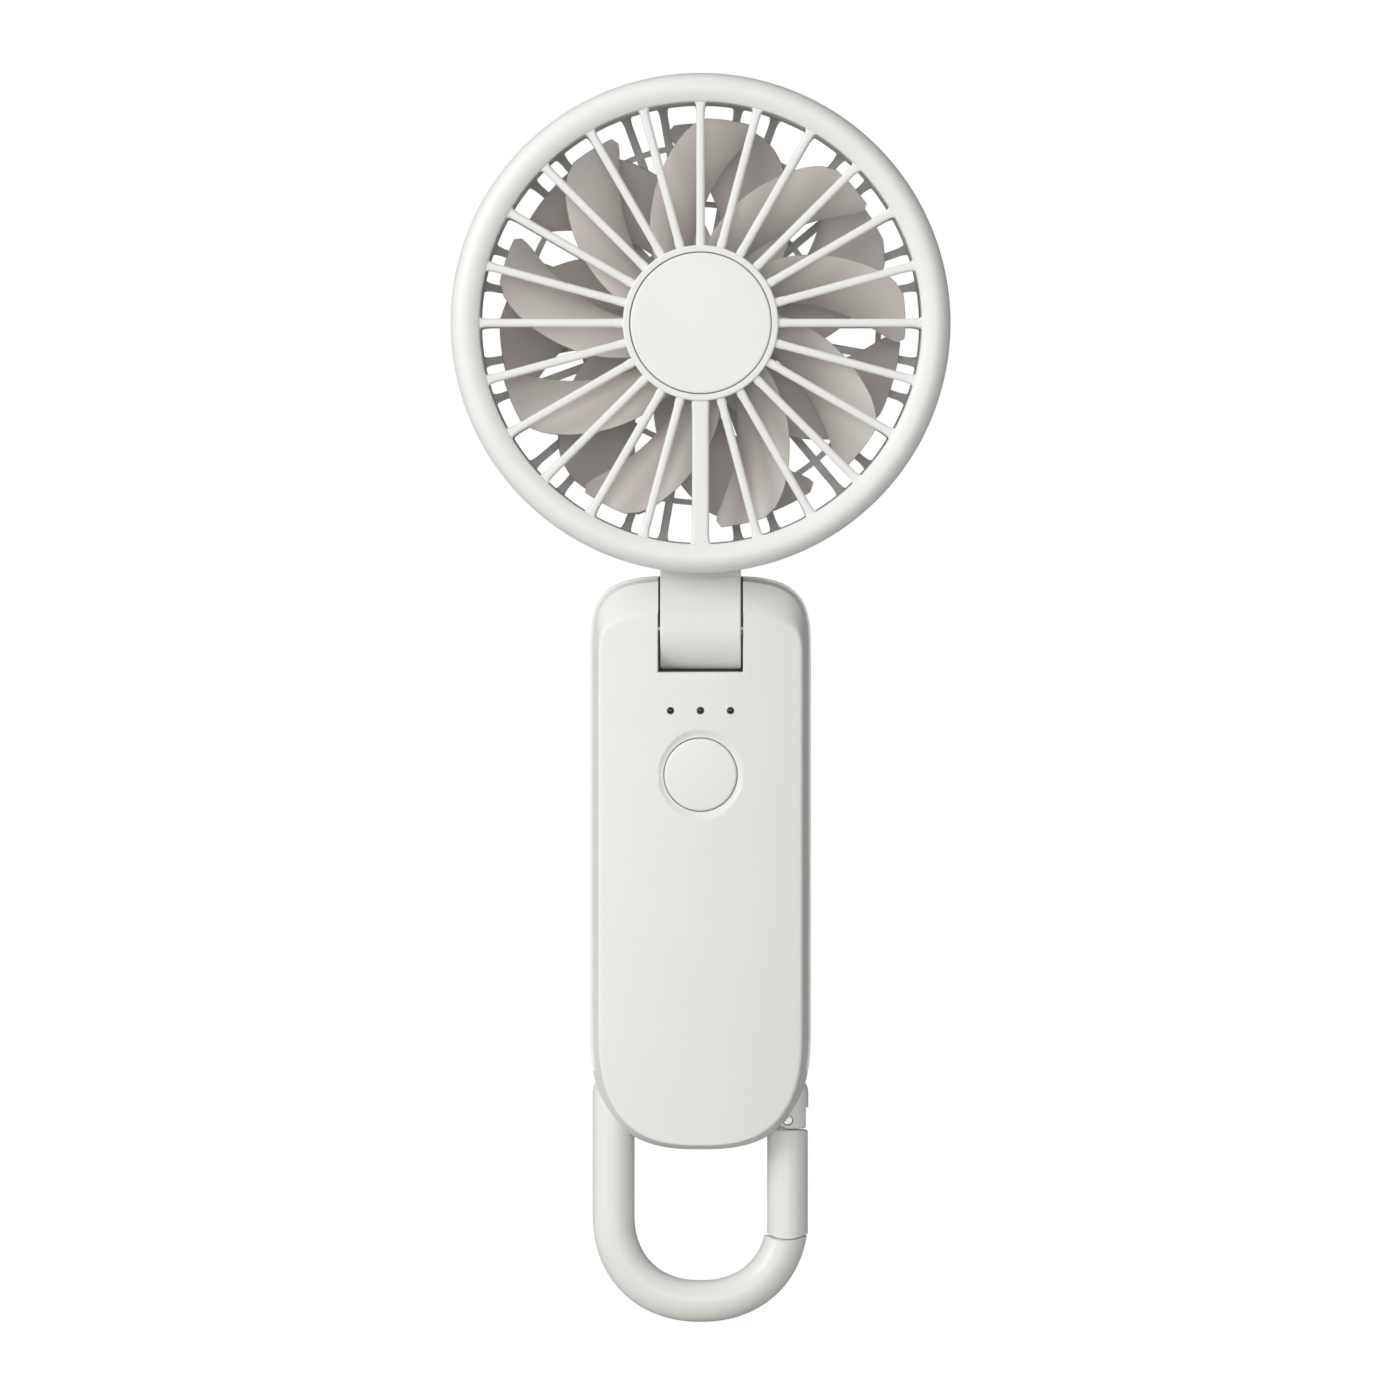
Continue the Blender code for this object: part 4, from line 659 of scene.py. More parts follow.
def recess_ring(x, grow):
    """The recess round the port: a rounded rectangle along the handle's side."""
    half_y, half_z, radius = 4.9 * MM + grow, 7.9 * MM + grow, 1.6 * MM
    middle_y = (REAR_START + 0.8 * MM + BACK - BACK_ROUND[1]) / 2
    points = []
    for corner, (sy, sz) in enumerate(((1, 1), (-1, 1), (-1, -1), (1, -1))):
        for i in range(9):
            t = math.radians(90 * corner + 90 * i / 8)
            points.append(Vector((x, middle_y + sy * (half_y - radius) + radius * math.cos(t),
                                  PORT.z + sz * (half_z - radius) + radius * math.sin(t))))
    return points


PORT_SIDE = -HALF_WIDTH
MOUTH_GAP = 0.5 * MM                 # play round the socket
recess = loft("recess", [recess_ring(PORT_SIDE - 2 * MM, 0.6 * MM), recess_ring(PORT_SIDE, 0.1 * MM),
                         recess_ring(PORT_SIDE + 0.5 * MM, 0)])
mouth_size = (socket_high.z - socket_low.z + MOUTH_GAP, socket_high.y - socket_low.y + MOUTH_GAP)
mouth = loft("mouth", [stadium(PORT_SIDE - 2 * MM, *mouth_size), stadium(PORT_SIDE + 3 * MM, *mouth_size)])
cut(rear_cover, recess, mouth)
settle(rear_cover, SHELL_ABS, "handle", "shell_plastic", "rear_shell")

# %% [markdown]
# ## Charging socket
# The socket is a folded steel shell with round ends and a thin tongue inside that carries
# the contacts. It is built as two slot-shaped lofts, one cut from the other, and a tongue
# joined to the back wall.

# %% Build the socket
width, height = socket_high.z - socket_low.z, socket_high.y - socket_low.y
socket = loft("charging_socket", [stadium(socket_low.x, width - 0.2 * MM, height - 0.2 * MM),
                                  stadium(socket_low.x + 0.15 * MM, width, height),
                                  stadium(socket_high.x, width, height)])
cut(socket, loft("room", [stadium(socket_low.x - 1 * MM, width - 0.6 * MM, height - 0.6 * MM),
                          stadium(socket_high.x - 1.2 * MM, width - 0.6 * MM, height - 0.6 * MM)]))
tongue = box("tongue", (socket_low.x + 0.8 * MM, PORT.y - 0.35 * MM, PORT.z - width / 2 + 1.2 * MM),
             (socket_high.x - 0.6 * MM, PORT.y + 0.35 * MM, PORT.z + width / 2 - 1.2 * MM))
join(socket, tongue)
settle(socket, STEEL, "handle", "steel", "usb_socket")

# %% [markdown]
# ## Copies placed by Geometry Nodes
# Spokes, blades, screws and lamp windows repeat. Each is modelled once and a node tree
# places the copies. Two small trees are enough: one turns copies round an axis, the other
# puts a copy at each point of a mesh. Both end by making the copies real and setting the
# material, so the result is an ordinary mesh.


# %% Tree that repeats a pattern round an axis
def new_tree(name, inputs):
    tree = bpy.data.node_groups.new(name, "GeometryNodeTree")
    tree.interface.new_socket("Geometry", in_out="INPUT", socket_type="NodeSocketGeometry")
    tree.interface.new_socket("Geometry", in_out="OUTPUT", socket_type="NodeSocketGeometry")
    for label, kind in inputs:
        tree.interface.new_socket(label, in_out="INPUT", socket_type=kind)
    return tree, tree.nodes.new("NodeGroupInput"), tree.nodes.new("NodeGroupOutput")


def finish_tree(tree, copies, given, out):
    real = add(tree, "GeometryNodeRealizeInstances", links={"Geometry": copies})
    coloured = add(tree, "GeometryNodeSetMaterial",
                   links={"Geometry": real.outputs["Geometry"], "Material": given.outputs["Material"]})
    tree.links.new(coloured.outputs["Geometry"], out.inputs["Geometry"])
    return tree


wheel, given, out = new_tree("repeat_round_axis", [
    ("Pattern", "NodeSocketObject"), ("Count", "NodeSocketInt"), ("Left Out", "NodeSocketInt"),
    ("Centre", "NodeSocketVector"), ("Material", "NodeSocketMaterial")])
pattern = add(wheel, "GeometryNodeObjectInfo", links={"Object": given.outputs["Pattern"]})
points = add(wheel, "GeometryNodeMeshLine", {"Offset": (0.0, 0.0, 0.0)},
             {"Count": given.outputs["Count"], "Start Location": given.outputs["Centre"]})
number = add(wheel, "GeometryNodeInputIndex")
step = add(wheel, "ShaderNodeMath", {"operation": "DIVIDE", 0: 2 * math.pi}, {1: given.outputs["Count"]})
turn = add(wheel, "ShaderNodeMath", {"operation": "MULTIPLY"},
           {0: number.outputs["Index"], 1: step.outputs["Value"]})
about_y = add(wheel, "ShaderNodeCombineXYZ", links={"Y": turn.outputs["Value"]})
kept = add(wheel, "FunctionNodeCompare", {"data_type": "INT", "operation": "NOT_EQUAL"},
           {2: number.outputs["Index"], 3: given.outputs["Left Out"]})
copies = add(wheel, "GeometryNodeInstanceOnPoints", links={
    "Points": points.outputs["Mesh"], "Selection": kept.outputs["Result"],
    "Instance": pattern.outputs["Geometry"], "Rotation": about_y.outputs["Vector"]})
finish_tree(wheel, copies.outputs["Instances"], given, out)

# %% Tree that puts a copy at each point
spots, given, out = new_tree("copy_at_points", [
    ("Pattern", "NodeSocketObject"), ("Material", "NodeSocketMaterial")])
pattern = add(spots, "GeometryNodeObjectInfo", links={"Object": given.outputs["Pattern"]})
copies = add(spots, "GeometryNodeInstanceOnPoints", links={
    "Points": given.outputs["Geometry"], "Instance": pattern.outputs["Geometry"]})
finish_tree(spots, copies.outputs["Instances"], given, out)


def grown(name, tree, carrier, **values):
    """Run a tree on a carrier mesh, keep the plain mesh, and remove the pattern."""
    piece = bpy.data.objects.new(name, carrier)
    bpy.context.scene.collection.objects.link(piece)
    change = piece.modifiers.new("grow", "NODES")
    change.node_group = tree
    sockets = {item.name: item.identifier for item in tree.interface.items_tree if item.in_out == "INPUT"}
    for label, value in values.items():
        change[sockets[label.replace("_", " ")]] = value
    evaluated(piece)
    bpy.data.objects.remove(values["Pattern"])
    return piece


def dots(places):
    """A mesh of loose points to carry copies."""
    mesh = bpy.data.meshes.new("dots")
    mesh.from_pydata([tuple(place) for place in places], [], [])
    return mesh


print("trees:", wheel.name, "and", spots.name)

# %% [markdown]
# ## Head band, neck and knuckle
# The head's outer band, its neck and the knuckle that turns on the hinge pin are one
# moulding. The neck's side view is drawn once as a polygon: a round barrel below, a flat
# front, and a slope that carries on the handle's bevel when the head is up. It is given
# its width, its edges are rounded with a Bevel modifier, and it is joined to the band.

# %% Neck and knuckle from their side view
HEAD = Vector((0, 0, HEAD_Z))
NECK_TOP = HEAD_Z - HEAD_RADIUS + 1.1 * MM
neck_front = FRONT + BEVEL[1]
side_view = arc((HINGE.y, HINGE.z), (BARREL, BARREL), 0, -180, 48)
side_view += [(FRONT, TOP - BEVEL[0] - 0.3 * MM), (FRONT + 0.06 * MM, TOP - BEVEL[0])]
side_view += [(neck_front - 0.3 * MM, TOP - 0.3 * MM), (neck_front, TOP + 0.1 * MM)]
side_view += [(neck_front, NECK_TOP), (HINGE.y + BARREL, NECK_TOP)]
neck = loft("head_band", [[Vector((x, y, z)) for y, z in side_view] for x in (-KNUCKLE_HALF, KNUCKLE_HALF)])
rounding = neck.modifiers.new("soft_edges", "BEVEL")
rounding.width, rounding.segments = 0.3 * MM, 3
rounding.limit_method, rounding.angle_limit = "ANGLE", math.radians(60)
evaluated(neck)
print("neck reaches z", round(1000 * NECK_TOP, 1), "mm")

# %% Band, bores and friction ring seats
BAND_START = HEAD_FRONT + 5.5 * MM
inner_radius = HEAD_RADIUS - 1.7 * MM
band_profile = [(inner_radius, BAND_START), (HEAD_RADIUS - 0.2 * MM, BAND_START)]
band_profile += [(HEAD_RADIUS - 0.05 * MM, BAND_START + 0.05 * MM), (HEAD_RADIUS, BAND_START + 0.2 * MM)]
band_profile += [(HEAD_RADIUS, BAND_START * share) for share in (0.6, 0.2, -0.2, -0.6)]
band_profile += [(r, -y) for r, y in band_profile[3::-1]]
join(neck, turned("band", band_profile, HEAD, 192))
LEAD_WAY = 1.7 * MM                  # radius of the motor leads' way up the neck
cut(neck, rod("lead_way", LEAD_WAY, HINGE.z + 3.5 * MM, NECK_TOP + 3 * MM, (0, -3.3 * MM, 0), 32, "Z"))
for way in (-1, 1):
    start, end = sorted((way * (KNUCKLE_HALF - 1.4 * MM), way * (KNUCKLE_HALF + 1 * MM)))
    cut(neck, rod("ring_seat", 4.7 * MM, start, end, HINGE, 48, "X"))
cut(neck, rod("knuckle_bore", SHAFT_BORE, -KNUCKLE_HALF - 1 * MM, KNUCKLE_HALF + 1 * MM, HINGE, 48, "X"))
settle(neck, SHELL_ABS, "head", "shell_plastic", "head_duct")

# %% [markdown]
# ## Guards
# Each guard is one moulding: a soft round rim with a thin sleeve behind it, thin spokes,
# and a hub that carries a motor. The rim and hub are turned from profiles. One spoke is
# lofted with rounded front edges and a little flare at both ends, where a moulder adds a
# radius so that it doesn't crack, and the node tree places the rest. The front guard's
# lowest spoke is twice as wide, because the motor's lead hides behind it.


# %% Rim and hub profiles
RIM_INNER = HEAD_RADIUS - 5.0 * MM
RIM_CREST = 2.6 * MM                 # from the outside in to the highest circle
RIM_CURVE = 3.9 * MM                 # radius of the curve from the crest to the opening
RIM_ROUND = 3.2 * MM                 # depth over which the crest rounds off to the outside
RIM_DEPTH = 5.2 * MM
SLEEVE_RADIUS = 38.9 * MM
SLEEVE_WALL = 1.2 * MM
SMALL_EDGE = 0.2 * MM


def rim(name, face, sign, steps=192):
    crest = HEAD_RADIUS - RIM_CREST
    lean = math.asin((crest - RIM_INNER) / RIM_CURVE)
    profile = [(crest - RIM_CURVE * math.sin(t), RIM_CURVE * (1 - math.cos(t)))
               for t in (lean * (1 - i / 12) for i in range(12))]
    opening = profile[0][1]
    profile += [(crest + RIM_CREST * math.sin(t), RIM_ROUND * (1 - math.cos(t)))
                for t in (math.pi / 2 * i / 16 for i in range(17))]
    sleeve, end = SLEEVE_RADIUS + SLEEVE_WALL, abs(face) - 1.2 * MM
    profile += [(HEAD_RADIUS, RIM_DEPTH - SMALL_EDGE), (HEAD_RADIUS - SMALL_EDGE, RIM_DEPTH)]
    profile += [(sleeve + SMALL_EDGE, RIM_DEPTH), (sleeve, RIM_DEPTH + SMALL_EDGE), (sleeve, end)]
    profile += [(SLEEVE_RADIUS, end), (SLEEVE_RADIUS, opening + 0.5 * MM)]
    profile += [(SLEEVE_RADIUS + 0.02 * MM, opening + SMALL_EDGE)]
    return turned(name, set_back(profile, face, sign), HEAD, steps)


def hub(name, radius, face, sign, steps=128):
    """A cup with a seat for the cap in front and a tube for the motor's bush behind."""
    seat, wall, plate, tube_end = radius - 1.16 * MM, radius - 1.0 * MM, 3.2 * MM, 13.3 * MM
    tube, bore = 3.6 * MM, 2.4 * MM
    profile = [(seat, 0.5 * MM), (seat, 0.12 * MM), (seat + 0.12 * MM, 0)]
    profile += arc((radius - 0.3 * MM, 0.3 * MM), (0.3 * MM, 0.3 * MM), 270, 360, 5)
    profile += [(radius, plate + 1.2 * MM), (tube, plate + 1.2 * MM), (tube, tube_end), (bore, tube_end)]
    profile += [(bore, plate), (wall, plate), (wall, 0.5 * MM)]
    return turned(name, set_back(profile, face, sign), HEAD, steps)


print("rim from radius", round(1000 * RIM_INNER, 1), "to", round(1000 * HEAD_RADIUS, 1), "mm")


# %% One spoke
SPOKE_DEPTH = 2.6 * MM
SPOKE_ROUND = 0.55 * MM
FLARE, FLARE_LENGTH = 0.9 * MM, 1.9 * MM


def spoke(name, width, start, end, face, sign):
    """A bar from the hub to the rim with rounded front edges and flared ends."""
    quarter = [math.pi / 2 * k / 5 for k in range(6)]
    loops = []
    for i in range(25):
        along = start + (end - start) * i / 24
        near_end = min(along - start, end - along)
        flare = FLARE * max(0.0, 1 - near_end / FLARE_LENGTH) ** 2.2 if i else 0
        half = width / 2 + flare * (1.0 if along > (start + end) / 2 else 0.7)
        right = [(half - SPOKE_ROUND + SPOKE_ROUND * math.sin(t), SPOKE_ROUND * (1 - math.cos(t)))
                 for t in quarter] + [(half - 0.12 * MM, SPOKE_DEPTH)]
        section = set_back(right + [(-x, depth) for x, depth in right[::-1]], face, sign)
        loops.append([Vector((x, y, along)) for x, y in section])
    made = loft(name, loops)
    made.data.shade_smooth()
    return made


def wheel_of(name, one, count, material, body, slot, left_out=-1, centre=HEAD):
    one.data.set_sharp_from_angle(angle=math.radians(40))
    made = grown(name, wheel, bpy.data.meshes.new(name), Pattern=one, Count=count,
                 Left_Out=left_out, Centre=tuple(centre), Material=material)
    return settle(made, material, body, slot, angle=40)


# %% [markdown]
# Both guards are built the same way. The front one's 24 spokes leave a place at the
# bottom, which the wide one fills. The rear one is finer: 36 spokes tied by two ring ribs.

# %% Front guard
SPOKE_END = RIM_INNER + 0.6 * MM
SPOKE_LEVEL = 1.0 * MM               # the spokes' fronts behind the rim's face
HUB_LEVEL = 0.6 * MM
HUB_MARGIN = 1.3 * MM                # the hub's width round its cap
INTO_HUB = 0.4 * MM


def guard(side, face, sign, hub_radius, count, width, left_out=-1):
    settle(rim(f"{side}_rim", face, sign), GUARD_ABS, "head", "guard_plastic", f"{side}_guard")
    settle(hub(f"{side}_hub", hub_radius, face + sign * HUB_LEVEL, sign), GUARD_ABS, "head", "guard_plastic")
    one = spoke("one_spoke", width, hub_radius - INTO_HUB, SPOKE_END, face + sign * SPOKE_LEVEL, sign)
    wheel_of(f"{side}_spokes", one, count, GUARD_ABS, "head", "guard_plastic", left_out=left_out)


front_hub = cap_high.x + HUB_MARGIN
guard("front", HEAD_FRONT, 1, front_hub, 24, 1.5 * MM, left_out=12)
wide = spoke("front_lead_spoke", 3.0 * MM, front_hub - INTO_HUB, SPOKE_END, HEAD_FRONT + SPOKE_LEVEL, 1)
wide.data.transform(Matrix.Translation(HEAD) @ Matrix.Rotation(math.pi, 4, "Y"))
settle(wide, GUARD_ABS, "head", "guard_plastic", angle=40)

# %% Rear guard
HEAD_BACK = -HEAD_FRONT
guard("rear", HEAD_BACK, -1, rear_cap_high.x + HUB_MARGIN, 36, 1.4 * MM)
for i, radius in enumerate((21.4 * MM, 31.7 * MM)):
    bar = mm((-0.5, 2.2), (0.5, 2.2), (0.5, 0.6), (0.2, 0.3), (-0.2, 0.3), (-0.5, 0.6))
    section = set_back([(radius + across, depth) for across, depth in bar], HEAD_BACK - SPOKE_LEVEL, -1)
    settle(turned(f"rear_rib_{i + 1}", section, HEAD, 144), GUARD_ABS, "head", "guard_plastic")

# %% [markdown]
# ## Hub caps
# A cap snaps into each hub and lies almost flush, with a hairline gap all round. Its face
# is very slightly domed, so that a thin bright line runs round its soft edge.


# %% Build both caps
def cap(name, radius, face, sign):
    edge, thick = 0.35 * MM, 1.6 * MM
    profile = [(radius * share, 0.05 * MM * share ** 2) for share in (0.0, 0.3, 0.6, 0.8, 0.9)]
    profile += arc((radius - edge, 0.42 * MM), (edge, edge), 270, 360, 6)
    return turned(name, set_back(profile + [(radius, thick), (0, thick)], face, sign), HEAD, 128)


settle(cap("front_cap", cap_high.x, cap_low.y, 1), CAP_ABS, "head", "cap_plastic", "front_hub_cap")
settle(cap("rear_cap", rear_cap_high.x, rear_cap_high.y, -1), CAP_ABS, "head", "cap_plastic", "rear_hub_cap")

# %% [markdown]
# ## Rotors
# A blade is a thin curved sheet: its two edges sweep round the axis as the radius grows,
# one edge stands forward and the other back, and the tip's corners are rounded off. The
# front rotor has nine blades and the rear one seven of the opposite hand, so that the
# second rotor straightens the air that the first has set spinning.


# %% One blade
def blade(name, root, tip, near, far, y_near, y_far, spans=22, chords=14):
    """near and far give an edge's angle in degrees, clockwise from the top, at a radius."""
    def point(s, c):
        radius = root + s * (tip - root)
        rounding = max(0.0, (s - 0.80) / 0.20)
        pinch = 0.17 * (1 - math.sqrt(max(0.0, 1 - rounding ** 2.4)))
        share = pinch + c * (1 - 2 * pinch)
        angle = math.radians(near(radius) + share * (far(radius) - near(radius)))
        y = y_near + share * (y_far - y_near) + 0.7 * MM * math.sin(math.pi * share) * math.copysign(1, y_near)
        return Vector((radius * math.sin(angle), y, radius * math.cos(angle)))

    bm = bmesh.new()
    sides = ([], [])
    for i in range(spans + 1):
        s = i / spans
        for j in range(chords + 1):
            c = (1 - math.cos(math.pi * j / chords)) / 2
            along = point(min(s + 0.01, 1), c) - point(max(s - 0.01, 0), c)
            across = point(s, min(c + 0.01, 1)) - point(s, max(c - 0.01, 0))
            normal = along.cross(across).normalized()
            body = min(1.0, 4.0 * c * (1 - c) + 0.10) ** 0.5 * min(1.0, 12 * (1 - s) + 0.35)
            thickness = 0.55 * MM * min(1.0, max(0.30, body))
            for side, sign in zip(sides, (1, -1)):
                side.append(bm.verts.new(point(s, c) + sign * thickness * normal))
    columns = chords + 1
    for side, flip in zip(sides, (False, True)):
        for i in range(spans):
            for j in range(chords):
                a, b = i * columns + j, (i + 1) * columns + j
                quad = [side[a], side[a + 1], side[b + 1], side[b]]
                bm.faces.new(quad[::-1] if flip else quad)
    border = list(range(chords)) + [i * columns + chords for i in range(spans)]
    border += [spans * columns + j for j in range(chords, 0, -1)] + [i * columns for i in range(spans, 0, -1)]
    for a, b in zip(border, border[1:] + border[:1]):
        bm.faces.new((sides[0][b], sides[0][a], sides[1][a], sides[1][b]))
    made = solid(name, bm)
    made.data.shade_smooth()
    return made


# %% Cups and blades of both rotors
CUP_RADIUS = 12.9 * MM
START = 13.8 * MM                    # radius at which the edges' angles are stated
CUP_LEVEL = 1.0 * MM                 # the cup's closed end from the head's middle


def rotor(side, sign, count, tip, near, far, y_near, y_far):
    inner, boss, bore = CUP_RADIUS - 1.2 * MM, 2.35 * MM, 1.15 * MM
    profile = [(CUP_RADIUS - 0.5 * MM, 0), (CUP_RADIUS - 0.15 * MM, 0.15 * MM), (CUP_RADIUS, 0.5 * MM)]
    profile += [(CUP_RADIUS, 9.6 * MM), (inner, 9.6 * MM), (inner, 1.4 * MM), (boss, 1.4 * MM)]
    profile += [(boss, 2.4 * MM), (bore, 2.4 * MM), (bore, 0)]
    cup = turned(f"{side}_rotor_cup", set_back(profile, sign * CUP_LEVEL, sign), HEAD, 96)
    settle(cup, BLADE_PP, f"{side}_rotor", "blade_plastic", f"{side}_rotor")
    one = blade("one_blade", CUP_RADIUS - 0.5 * MM, tip, near, far, y_near, y_far)
    wheel_of(f"{side}_blades", one, count, BLADE_PP, f"{side}_rotor", "blade_plastic")


rotor("front", -1, 9, 36.1 * MM,
      lambda r: 4.3 + 1534 * (r - START), lambda r: 34.1 + 1050 * (r - START), -9.6 * MM, -3.6 * MM)
rotor("rear", 1, 7, 35.6 * MM,
      lambda r: 60.8 - 1900 * (r - START), lambda r: 18.4 - 1445 * (r - START), 3.6 * MM, 9.6 * MM)

# %% [markdown]
# ## Key, lamp windows and screws
# The key is a round disc with a soft edge, a flange behind the cover and a stem to the
# switch. The lamp windows and the screws are modelled once each and copied to their
# places by the second node tree. The screw head has a cross recess.

# %% Key
face = key_low.y - FRONT
flange, stem, stem_end = KEY_RADIUS + 0.9 * MM, 1.5 * MM, key_high.y - FRONT
key_profile = [(0, face), (3.0 * MM, face + 0.01 * MM), (5.2 * MM, face + 0.06 * MM)]
key_profile += arc((KEY_RADIUS - 0.4 * MM, face + 0.55 * MM), (0.4 * MM, 0.42 * MM), 270, 360, 6)
key_profile += [(KEY_RADIUS, 2.0 * MM), (flange, 2.0 * MM), (flange, 2.6 * MM), (stem, 2.6 * MM)]
key_profile += [(stem, stem_end), (0, stem_end)]
settle(turned("power_key", key_profile, KEY, 128), KEY_ABS, "power_button", "button_plastic", "power_button")

# %% Lamp windows and screws
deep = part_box("led_window_2")[1].y - FRONT
pane = mm((0, 0.21), (0.35, 0.23), (0.48, 0.32), (0.54, 0.50), (0.54, 1.9), (1.1, 1.9))
pane += [(1.1 * MM, deep), (0, deep)]
window = turned("one_window", pane, (0, 0, 0), 32)
windows = grown("lamp_windows", spots, dots(LAMPS), Pattern=window, Material=LAMP_WINDOW)
settle(windows, LAMP_WINDOW, "handle", "lamp_lens", "led_window_1", "led_window_2", "led_window_3")

screw_low, screw_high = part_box("shell_screw_1")
length, head, pitch = screw_high.y - screw_low.y, 1.5 * MM, 0.8 * MM
core = mm((0, 0), (0.5, 0), (0.75, 1.2))
for ridge in range(int((length - head - 1.4 * MM) / pitch)):
    low = 1.3 * MM + pitch * ridge
    core += [(0.72 * MM, low), (0.95 * MM, low + 0.35 * MM), (0.72 * MM, low + 0.7 * MM)]
core += [(0.75 * MM, length - head), (1.7 * MM, length - head), (1.7 * MM, length - 0.5 * MM)]
core += [(1.5 * MM, length - 0.18 * MM), (1.1 * MM, length), (0, length)]
screw = turned("one_screw", core, (0, 0, 0), 40)
for x, z in mm((0.95, 0.22), (0.22, 0.95)):
    cut(screw, box("recess", (-x, length - 0.9 * MM, -z), (x, length + 1 * MM, z)))
places = [Vector((x, screw_low.y, z)) for x, z in SCREWS]
screws = grown("cover_screws", spots, dots(places), Pattern=screw, Material=STEEL)
settle(screws, STEEL, "handle", "steel", *(f"shell_screw_{i}" for i in (1, 2, 3, 4)))
print("screws", round(1000 * length, 1), "mm long")

# %% [markdown]
# ## Clip
# The clip is a round bar bent into a D, with domed upper ends and a bar across the top
# that it swings on. It is swept as rings along its path. A gap in the right arm is cut
# with a ridge-shaped tool, because the nose and the gate meet in a curved seam, and the
# stub above the gap is forked for the gate's tongue.


# %% Sweep and nose tools
def swept(name, points, radii, sides=40):
    loops = []
    for i, (point, radius) in enumerate(zip(points, radii)):
        heading = (points[min(i + 1, len(points) - 1)] - points[max(i - 1, 0)]).normalized()
        across = heading.cross(Vector((0, 1, 0))).normalized()
        loops.append([point + radius * (math.cos(t) * across + math.sin(t) * Vector((0, 1, 0)))
                      for t in (2 * math.pi * k / sides for k in range(sides))])
    return loft(name, loops)


def domed_end(x):
    angles = [math.radians(angle) for angle in (86, 78, 70, 61, 52, 43, 34, 25, 16, 8)]
    points = [Vector((x, ARM_Y, CLIP_BAR.z + ARM_RADIUS * math.sin(a))) for a in angles]
    return points, [ARM_RADIUS * math.cos(a) for a in angles]


NOSE = CLIP_BAR.z - 26.0 * MM
GATE_TOP = CLIP_BAR.z - 6.4 * MM
STUB_END = GATE_TOP + 0.3 * MM
CLIP_EDGE = 0.25 * MM                # the small edge at the stub's and the gate's ends
PIN_HOLE = 0.95 * MM
FORK_HALF = 1.75 * MM
TONGUE_RADIUS, TONGUE_DEPTH = 1.9 * MM, 2.2 * MM


def seam_tool(name, low, high):
    """A block whose underside bulges down in the middle, like the seam of the nose."""
    under = [(ARM_Y + ARM_RADIUS * 1.15 * t, low + 0.9 * MM * (1 - (1.15 * t) ** 2))
             for t in (i / 12 - 1 for i in range(25))]
    side = under + [(under[-1][0], high), (under[0][0], high)]
    return loft(name, [[Vector((x, y, z)) for y, z in side] for x in (ARM_X - 6.5 * MM, ARM_X + 6.5 * MM)])


# %% Clip frame
BOW_POWER = 2 / 2.2
OVER = 6 * MM                        # tools reach past the arm by this much
bow = CLIP_END + ARM_RADIUS + ARM_X
points, radii = domed_end(-ARM_X)
points += [Vector((-ARM_X, ARM_Y, CLIP_BAR.z - step * MM)) for step in (0.0, 6.0, 12.0, 17.0)]
for t in (math.pi * i / 64 for i in range(65)):
    x = -math.copysign(ARM_X * abs(math.cos(t)) ** BOW_POWER, math.cos(t))
    points.append(Vector((x, ARM_Y, bow - ARM_X * max(0.0, math.sin(t)) ** BOW_POWER)))
points.append(Vector((ARM_X, ARM_Y, bow + 4 * MM)))
radii += [ARM_RADIUS] * (len(points) - len(radii))
clip = swept("clip_loop", points, radii)
cut(clip, seam_tool("gap", NOSE, CLIP_BAR.z))
stub_points, stub_radii = domed_end(ARM_X)
stub_points += [Vector((ARM_X, ARM_Y, z)) for z in (CLIP_BAR.z, STUB_END + CLIP_EDGE, STUB_END)]
stub = swept("stub", stub_points, stub_radii + [ARM_RADIUS] * 2 + [ARM_RADIUS - CLIP_EDGE])
join(clip, rod("bar", BAR_RADIUS, -ARM_X, ARM_X, CLIP_BAR, 48, "X"), stub)

# %% Fork, slope and pin hole of the frame
fork = box("fork", (ARM_X - OVER, ARM_Y - FORK_HALF, STUB_END - 1 * MM),
           (ARM_X + OVER, ARM_Y + FORK_HALF, GATE_PIN.z + 2.2 * MM))
rise = 1.05 * OVER * math.tan(math.radians(joints["clip_gate_open"]["range_deg"][1]))
corner = [(ARM_X, STUB_END - 1 * MM), (ARM_X, STUB_END), (ARM_X - OVER, STUB_END + rise),
          (ARM_X - OVER, STUB_END - 1 * MM)]
slope = loft("slope", [[Vector((x, y, z)) for x, z in corner] for y in (ARM_Y - OVER, ARM_Y + OVER)])
cut(clip, slope)
cut(clip, fork, rod("pin_hole", PIN_HOLE, -4.5 * MM, 3.1 * MM, GATE_PIN, 24))
settle(clip, CLIP_ACETAL, "clip", "clip_plastic", "clip_frame")

# %% [markdown]
# ## Gate
# The gate is a short round bar whose lower end is hollowed to match the nose, with a
# tongue that sits in the fork. The frame's stub above it is cut on a slope, which leaves
# the gate room to open inwards.

